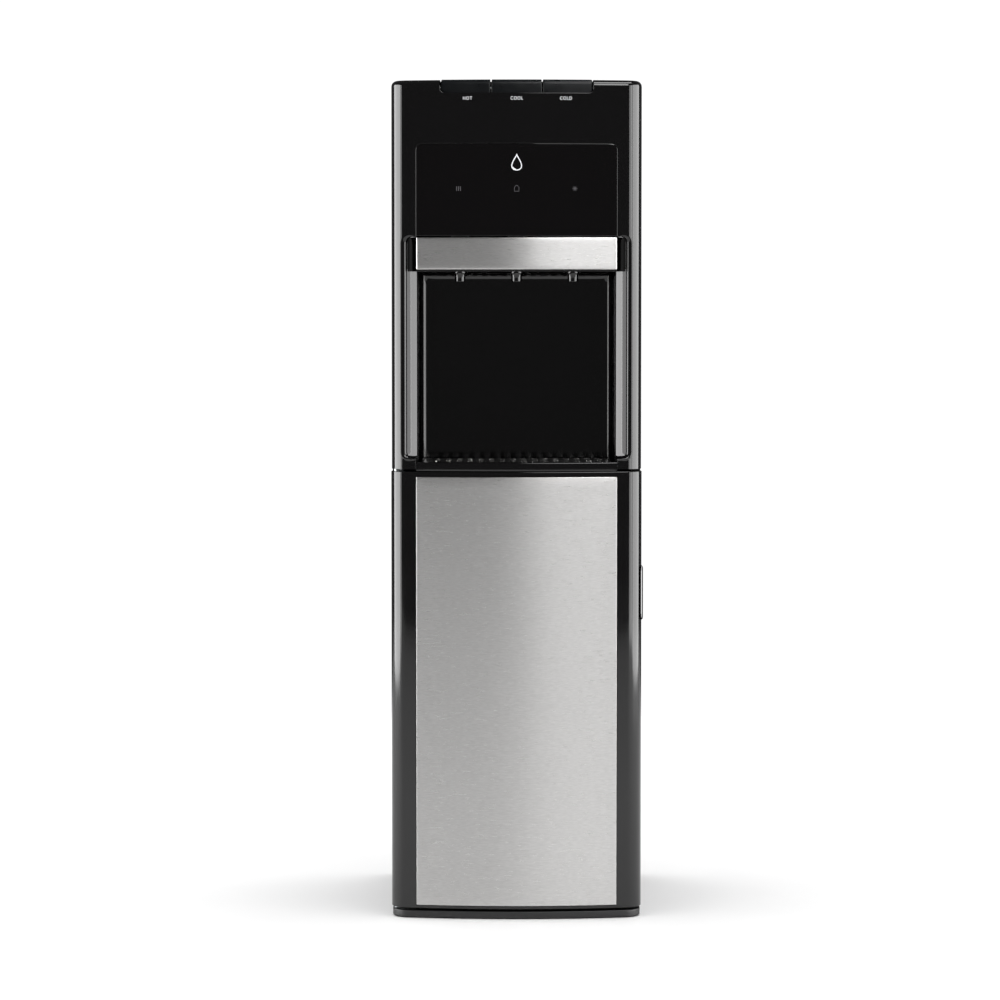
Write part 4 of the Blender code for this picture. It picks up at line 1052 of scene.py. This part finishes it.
def build_rear():
    """Wire-on-tube condenser, drain, cord gland and the two rocker switches."""
    low, pitch, passes, y, reach = 0.735, 0.022, 9, 0.1665, 0.1152
    pipe_radius, wire_radius, wire_offset, wire_low, wire_high = 2.5 * MM, 0.75 * MM, 3.1 * MM, 0.009, 0.186
    route = []
    for index in range(passes):
        level, sign = low + index * pitch, 1 if index % 2 == 0 else -1
        route.append(run((-sign * reach, level), (sign * reach, level), 24))
        if index < passes - 1:
            start, end = (-90, 90) if sign > 0 else (270, 90)
            route.append(bend((sign * reach, level + pitch / 2), pitch / 2, start, end, 12))
    route.append(np.array([[reach, low + (passes - 1) * pitch]]))
    flat = np.concatenate(route)
    path = surface(flat[:, 0], y, flat[:, 1])
    make_piece("condenser_pipe", [pipe(path, pipe_radius)], PAINTED, "cabinet",
               ["condenser_tube"])
    wires = []
    for x in np.linspace(-0.111, 0.111, 38):
        for side in (-1, 1):
            deep = y + side * wire_offset
            wires.append(pipe([(x, deep, low - wire_low), (x, deep, low + wire_high)], wire_radius, 6))
    make_piece("condenser_wires", wires, PAINTED, "cabinet")

    face = BACK_SHEET_Y
    gland = [(12.5, 4.0), (12.0, 4.6), (8.5, 4.6), (8.0, 5.0), (7.0, 11.6), (6.6, 12.0), (4.6, 12.0),
             (4.2, 11.5), (4.2, -8.0), (8.0, -8.0), (8.0, 0.6), (12.0, 0.6), (12.5, 1.1), (12.5, 4.0)]
    spout = [(12.5, 3.5), (12.0, 4.0), (7.0, 4.0), (7.0, 17.6), (6.6, 18.0), (4.9, 18.0), (4.5, 17.6),
             (4.5, -12.0), (8.0, -12.0), (8.0, 0.6), (12.0, 0.6), (12.5, 1.1), (12.5, 3.5)]
    cap = [(0.0, 21.5), (9.2, 21.5), (10.0, 20.7), (10.0, 4.9), (9.6, 4.5), (7.5, 4.5), (7.5, 18.5),
           (0.0, 18.5)]
    gland_x, drain_x, outlet_level = 0.115, -0.075, 0.585
    turned = {"cord_entry": (gland, gland_x, "cabinet", "cord_gland"),
              "drain_outlet": (spout, drain_x, "cabinet", "drain_spout"),
              "drain_plug": (cap, drain_x, "drain_cap", "drain_cap")}
    for name, (profile, x, body, node) in turned.items():
        shape = lathe(np.array(profile) * MM, (x, face, outlet_level), "Y")
        make_piece(name, [shape], SATIN, body, [node])
    half, bottom, top, roll, middle = 7.2 * MM, -9.8 * MM, 10.4 * MM, 1.0 * MM, 0.962
    across, up = edge_steps(-half, half, roll, 6), edge_steps(bottom, top, roll, 12)
    bulge = np.interp(up, (bottom, 0.0, top), (7.6 * MM, 5.0 * MM, 4.0 * MM))
    bulge = bulge - 0.6 * MM * (1 - (up / (10 * MM)) ** 2)
    fall = rolled(np.minimum(across + half, half - across), roll)[None, :]
    fall = fall + rolled(np.minimum(up - bottom, top - up), roll)[:, None]
    deep = face - 0.0010 + bulge[:, None] - np.minimum(fall, 1.6 * MM)
    rockers = (("hot", -0.112, RED, "red_plastic"), ("cold", -0.088, SATIN, "satin_black"))
    for name, x, finish, slot in rockers:
        grid = surface(across[None, :] + x, deep, up[:, None] + middle)
        make_piece(f"{name}_rocker", [grid], finish, f"{name}_switch", [f"{name}_switch"],
                   facing=(0, 1, 0), wall=2.6 * MM)


# ---------------------------------------------------------------- inner pieces

def build_inner():
    """Turned vessels and pipes inside the cabinet: each a profile about its own axis."""
    probe_x, probe_y, tank_y = -0.122, 0.112, 0.050
    hot, cold = (-0.078, tank_y, 0.0), (0.072, tank_y, 0.0)
    vessels = {
        "hot_vessel": ([(0.0, 0.985), (0.030, 0.9845), (0.039, 0.982), (0.0435, 0.977), (0.045, 0.970),
                        (0.045, 0.880), (0.0435, 0.873), (0.039, 0.868), (0.030, 0.8655), (0.0, 0.865)],
                       hot, BRIGHT, "cabinet", "stainless", "hot_tank"),
        "cold_vessel": ([(0.0, 1.000), (0.036, 0.9995), (0.046, 0.997), (0.051, 0.992), (0.052, 0.985),
                         (0.052, 0.865), (0.051, 0.858), (0.046, 0.853), (0.036, 0.8505), (0.0, 0.850)],
                        cold, BRIGHT, "cabinet", "stainless", "cold_tank"),
        "foam_jacket": ([(0.069, 0.994), (0.070, 0.993), (0.070, 0.853), (0.069, 0.852), (0.061, 0.852),
                         (0.060, 0.853), (0.060, 0.993), (0.061, 0.994), (0.069, 0.994)],
                        cold, FOAM, "cabinet", "foam", "cold_tank_jacket"),
        "compressor_shell": ([(0.0, 0.712), (0.020, 0.7112), (0.036, 0.7070), (0.048, 0.6985),
                              (0.0555, 0.686), (0.058, 0.672), (0.058, 0.644), (0.0595, 0.6425),
                              (0.0595, 0.6395), (0.058, 0.638), (0.058, 0.600), (0.0555, 0.588),
                              (0.048, 0.577), (0.038, 0.5705), (0.032, 0.569), (0.032, 0.5606),
                              (0.0, 0.5606)],
                             (0.065, 0.070, 0.0), PAINTED, "cabinet", "painted_steel", "compressor"),
        "probe_top": ([(0.0, 0.507), (0.0082, 0.507), (0.0090, 0.5062), (0.0090, 0.4970),
                       (0.0100, 0.4956), (0.0142, 0.4942), (0.0150, 0.4934), (0.0155, 0.4832),
                       (0.0150, 0.4824), (0.0, 0.4824)],
                      (probe_x, probe_y, 0.0), BLUE, "probe", "blue_plastic", "probe_cap"),
        "probe_tube": ([(0.0, 0.4822), (0.0048, 0.4818), (0.0048, 0.0700), (0.0044, 0.0682),
                        (0.0030, 0.0680), (0.0, 0.0700)],
                       (probe_x, probe_y, 0.0), BRIGHT, "probe", "stainless", "probe_pipe"),
    }
    for name, (profile, centre, finish, body, slot, node) in vessels.items():
        make_piece(name, [lathe(profile, centre)], finish, body, [node])
    pump = [(0.0, 0.035), (0.0205, 0.035), (0.022, 0.0365), (0.022, 0.0835), (0.0205, 0.085), (0.0, 0.085)]
    make_piece("pump_case", [lathe(pump, (-0.105, 0.0, 0.5745), "Y")], GREY, "cabinet",
               ["pump_body"])
    turns, winding_radius, winding_low, winding_pitch = 5, 0.056, 0.875, 0.020
    turn = np.linspace(0, 2 * turns * math.pi, 241)
    coil = np.stack([cold[0] + winding_radius * np.cos(turn), cold[1] + winding_radius * np.sin(turn),
                     winding_low + winding_pitch * turn / (2 * math.pi)], axis=1)
    make_piece("evaporator_winding", [pipe(coil, 3.0 * MM)], COPPER, "cabinet",
               ["evaporator_coil"])
    hose = np.linspace((probe_x, probe_y, 0.4925), (probe_x, probe_y, 0.545), 12)
    make_piece("probe_tail", [pipe(hose, 2.6 * MM, 16)], SILICONE, "probe", ["probe_hose"])
    rod = [(0.0, 1.0370), (0.0019, 1.0370), (0.0025, 1.0364), (0.0025, 0.8491), (0.0019, 0.8485),
           (0.0, 0.8485)]
    rod_y = -0.158
    for name, side in TAPS:
        make_piece(f"{name}_rod", [lathe(rod, (side * TAP_SPACING, rod_y, 0.0), sides=24)], GREY,
                   f"{name}_rod", [f"{name}_push_rod"])


# ---------------------------------------------------------- carried-over nodes

def finish_nodes():
    """Gives the frame's own shapes, where they are kept, their materials."""
    finishes = {
        PAINTED: ("side_panel_left", "side_panel_right", "back_panel", "condenser_rail_left",
                  "condenser_rail_right"),
        ZINC: ("mid_deck", "tank_shelf", "hinge_bracket_lower", "hinge_bracket_upper", "key_pin"),
        SATIN: ("door_inner_panel", "key_carrier", "switch_bezel"),
        GREY: ("bay_liner", "bottle_shelf", "valve_block", "probe_hanger"),
        RUBBER: ("door_seal", "compressor_base"),
        BOARD: ("control_board",),
    }
    for finish, names in finishes.items():
        for name in names:
            node = frame["nodes"][name]
            if node.material_slots:
                node.material_slots[0].material = finish
            else:
                node.data.materials.append(finish)


# ------------------------------------------------------------ studio and camera

def softbox(name, centre, target, width, height, power):
    """Rectangular studio light that looks at a point."""
    light = bpy.data.lights.new(name, "AREA")
    light.shape = "RECTANGLE"
    light.size, light.size_y = width, height
    light.energy = power
    lamp = bpy.data.objects.new(name, light)
    bpy.context.scene.collection.objects.link(lamp)
    away = np.array(centre, float) - np.array(target, float)
    lamp.location = centre
    reach = float(np.hypot(away[0], away[1]))
    lamp.rotation_euler = (math.atan2(reach, away[2]), 0.0, math.atan2(away[1], away[0]) + math.pi / 2)
    lamp.visible_camera = False
    return lamp


def build_studio():
    """White floor and paper. Every light but the overhead one only draws reflections; the overhead
    one lights the surfaces and shows in none of them."""
    made = bpy.data.materials.new("white_studio_floor")
    made.use_nodes = True
    tree = made.node_tree
    shader = tree.nodes["Principled BSDF"]
    shader.inputs["Roughness"].default_value = 0.75
    vary(tree, shader, "Base Color", 400 * MM, "#f4f4f4", "#f8f8f8")
    sheet = surface(np.linspace(-3.5, 3.5, 7)[None, :], np.linspace(-3.4, 1.8, 7)[:, None], 0.0)
    floor = bpy.data.objects.new("studio_floor", welded_mesh("studio_floor", [sheet], facing=(0, 0, 1)))
    floor.data.materials.append(made)
    bpy.context.scene.collection.objects.link(floor)

    world = bpy.data.worlds.new("studio")
    world.use_nodes = True
    bpy.context.scene.world = world
    tree = world.node_tree
    back = tree.nodes["Background"]
    back.inputs["Color"].default_value = (1, 1, 1, 1)
    back.inputs["Strength"].default_value = 0.12
    paper = add_node(tree, "ShaderNodeBackground", {"Color": (1, 1, 1, 1), "Strength": 1.05})
    rays = add_node(tree, "ShaderNodeLightPath")
    mix = add_node(tree, "ShaderNodeMixShader")
    tree.links.new(rays.outputs["Is Camera Ray"], mix.inputs[0])
    tree.links.new(back.outputs[0], mix.inputs[1])
    tree.links.new(paper.outputs[0], mix.inputs[2])
    tree.links.new(mix.outputs[0], tree.nodes["World Output"].inputs["Surface"])

    middle, level, tall = (0.0, 0.0, 0.55), 0.75, 2.4
    softbox("left_side", (-2.6, -0.33, level), middle, 2.35, tall, 145)
    softbox("left_side_fade", (-2.6, -1.9, level), (0.0, -1.9, 0.55), 0.8, tall, 22)
    softbox("right_side", (2.6, -0.33, level), middle, 2.35, tall, 115)
    softbox("right_side_fade", (2.6, -2.0, level), (0.0, -2.0, 0.55), 1.0, tall, 30)
    softbox("right_side_haze", (2.3, -2.6, level), middle, 0.9, tall, 26)
    softbox("right_key", (0.72, -2.4, 2.2), (0.0, 0.0, 0.4), 1.25, 1.2, 32)
    softbox("right_top", (0.95, -0.9, 3.2), (0.1, -0.1, 0.8), 1.4, 0.8, 26)
    for lamp in bpy.context.scene.collection.objects:
        if lamp.type == "LIGHT":
            lamp.visible_diffuse = False
    softbox("overhead", (0.0, 0.5, 4.6), (0.0, 0.51, 0.0), 10.0, 9.0, 600).visible_glossy = False


def build_camera():
    """Long lens four metres in front, a little high, tilted down and a touch to the left."""
    tilt_down = 2.94
    camera = bpy.data.objects.new("camera", bpy.data.cameras.new("camera"))
    camera.data.sensor_width = 36.0
    camera.data.lens = 116.8
    camera.data.shift_y = -0.03
    camera.location = (-0.0205, FRONT_Y - 4.0, 0.765)
    camera.rotation_euler = (math.radians(90.0 - tilt_down), 0.0, 0.0)
    bpy.context.scene.collection.objects.link(camera)
    bpy.context.scene.camera = camera
    bpy.context.scene.view_settings.view_transform = "Standard"


build_camera()
build_fascia()
build_window_and_band()
build_spouts()
build_alcove()
build_keys()
build_tray()
build_grille()
build_door()
build_base()
build_cover()
build_marks()
build_rear()
build_inner()
finish_nodes()
build_studio()
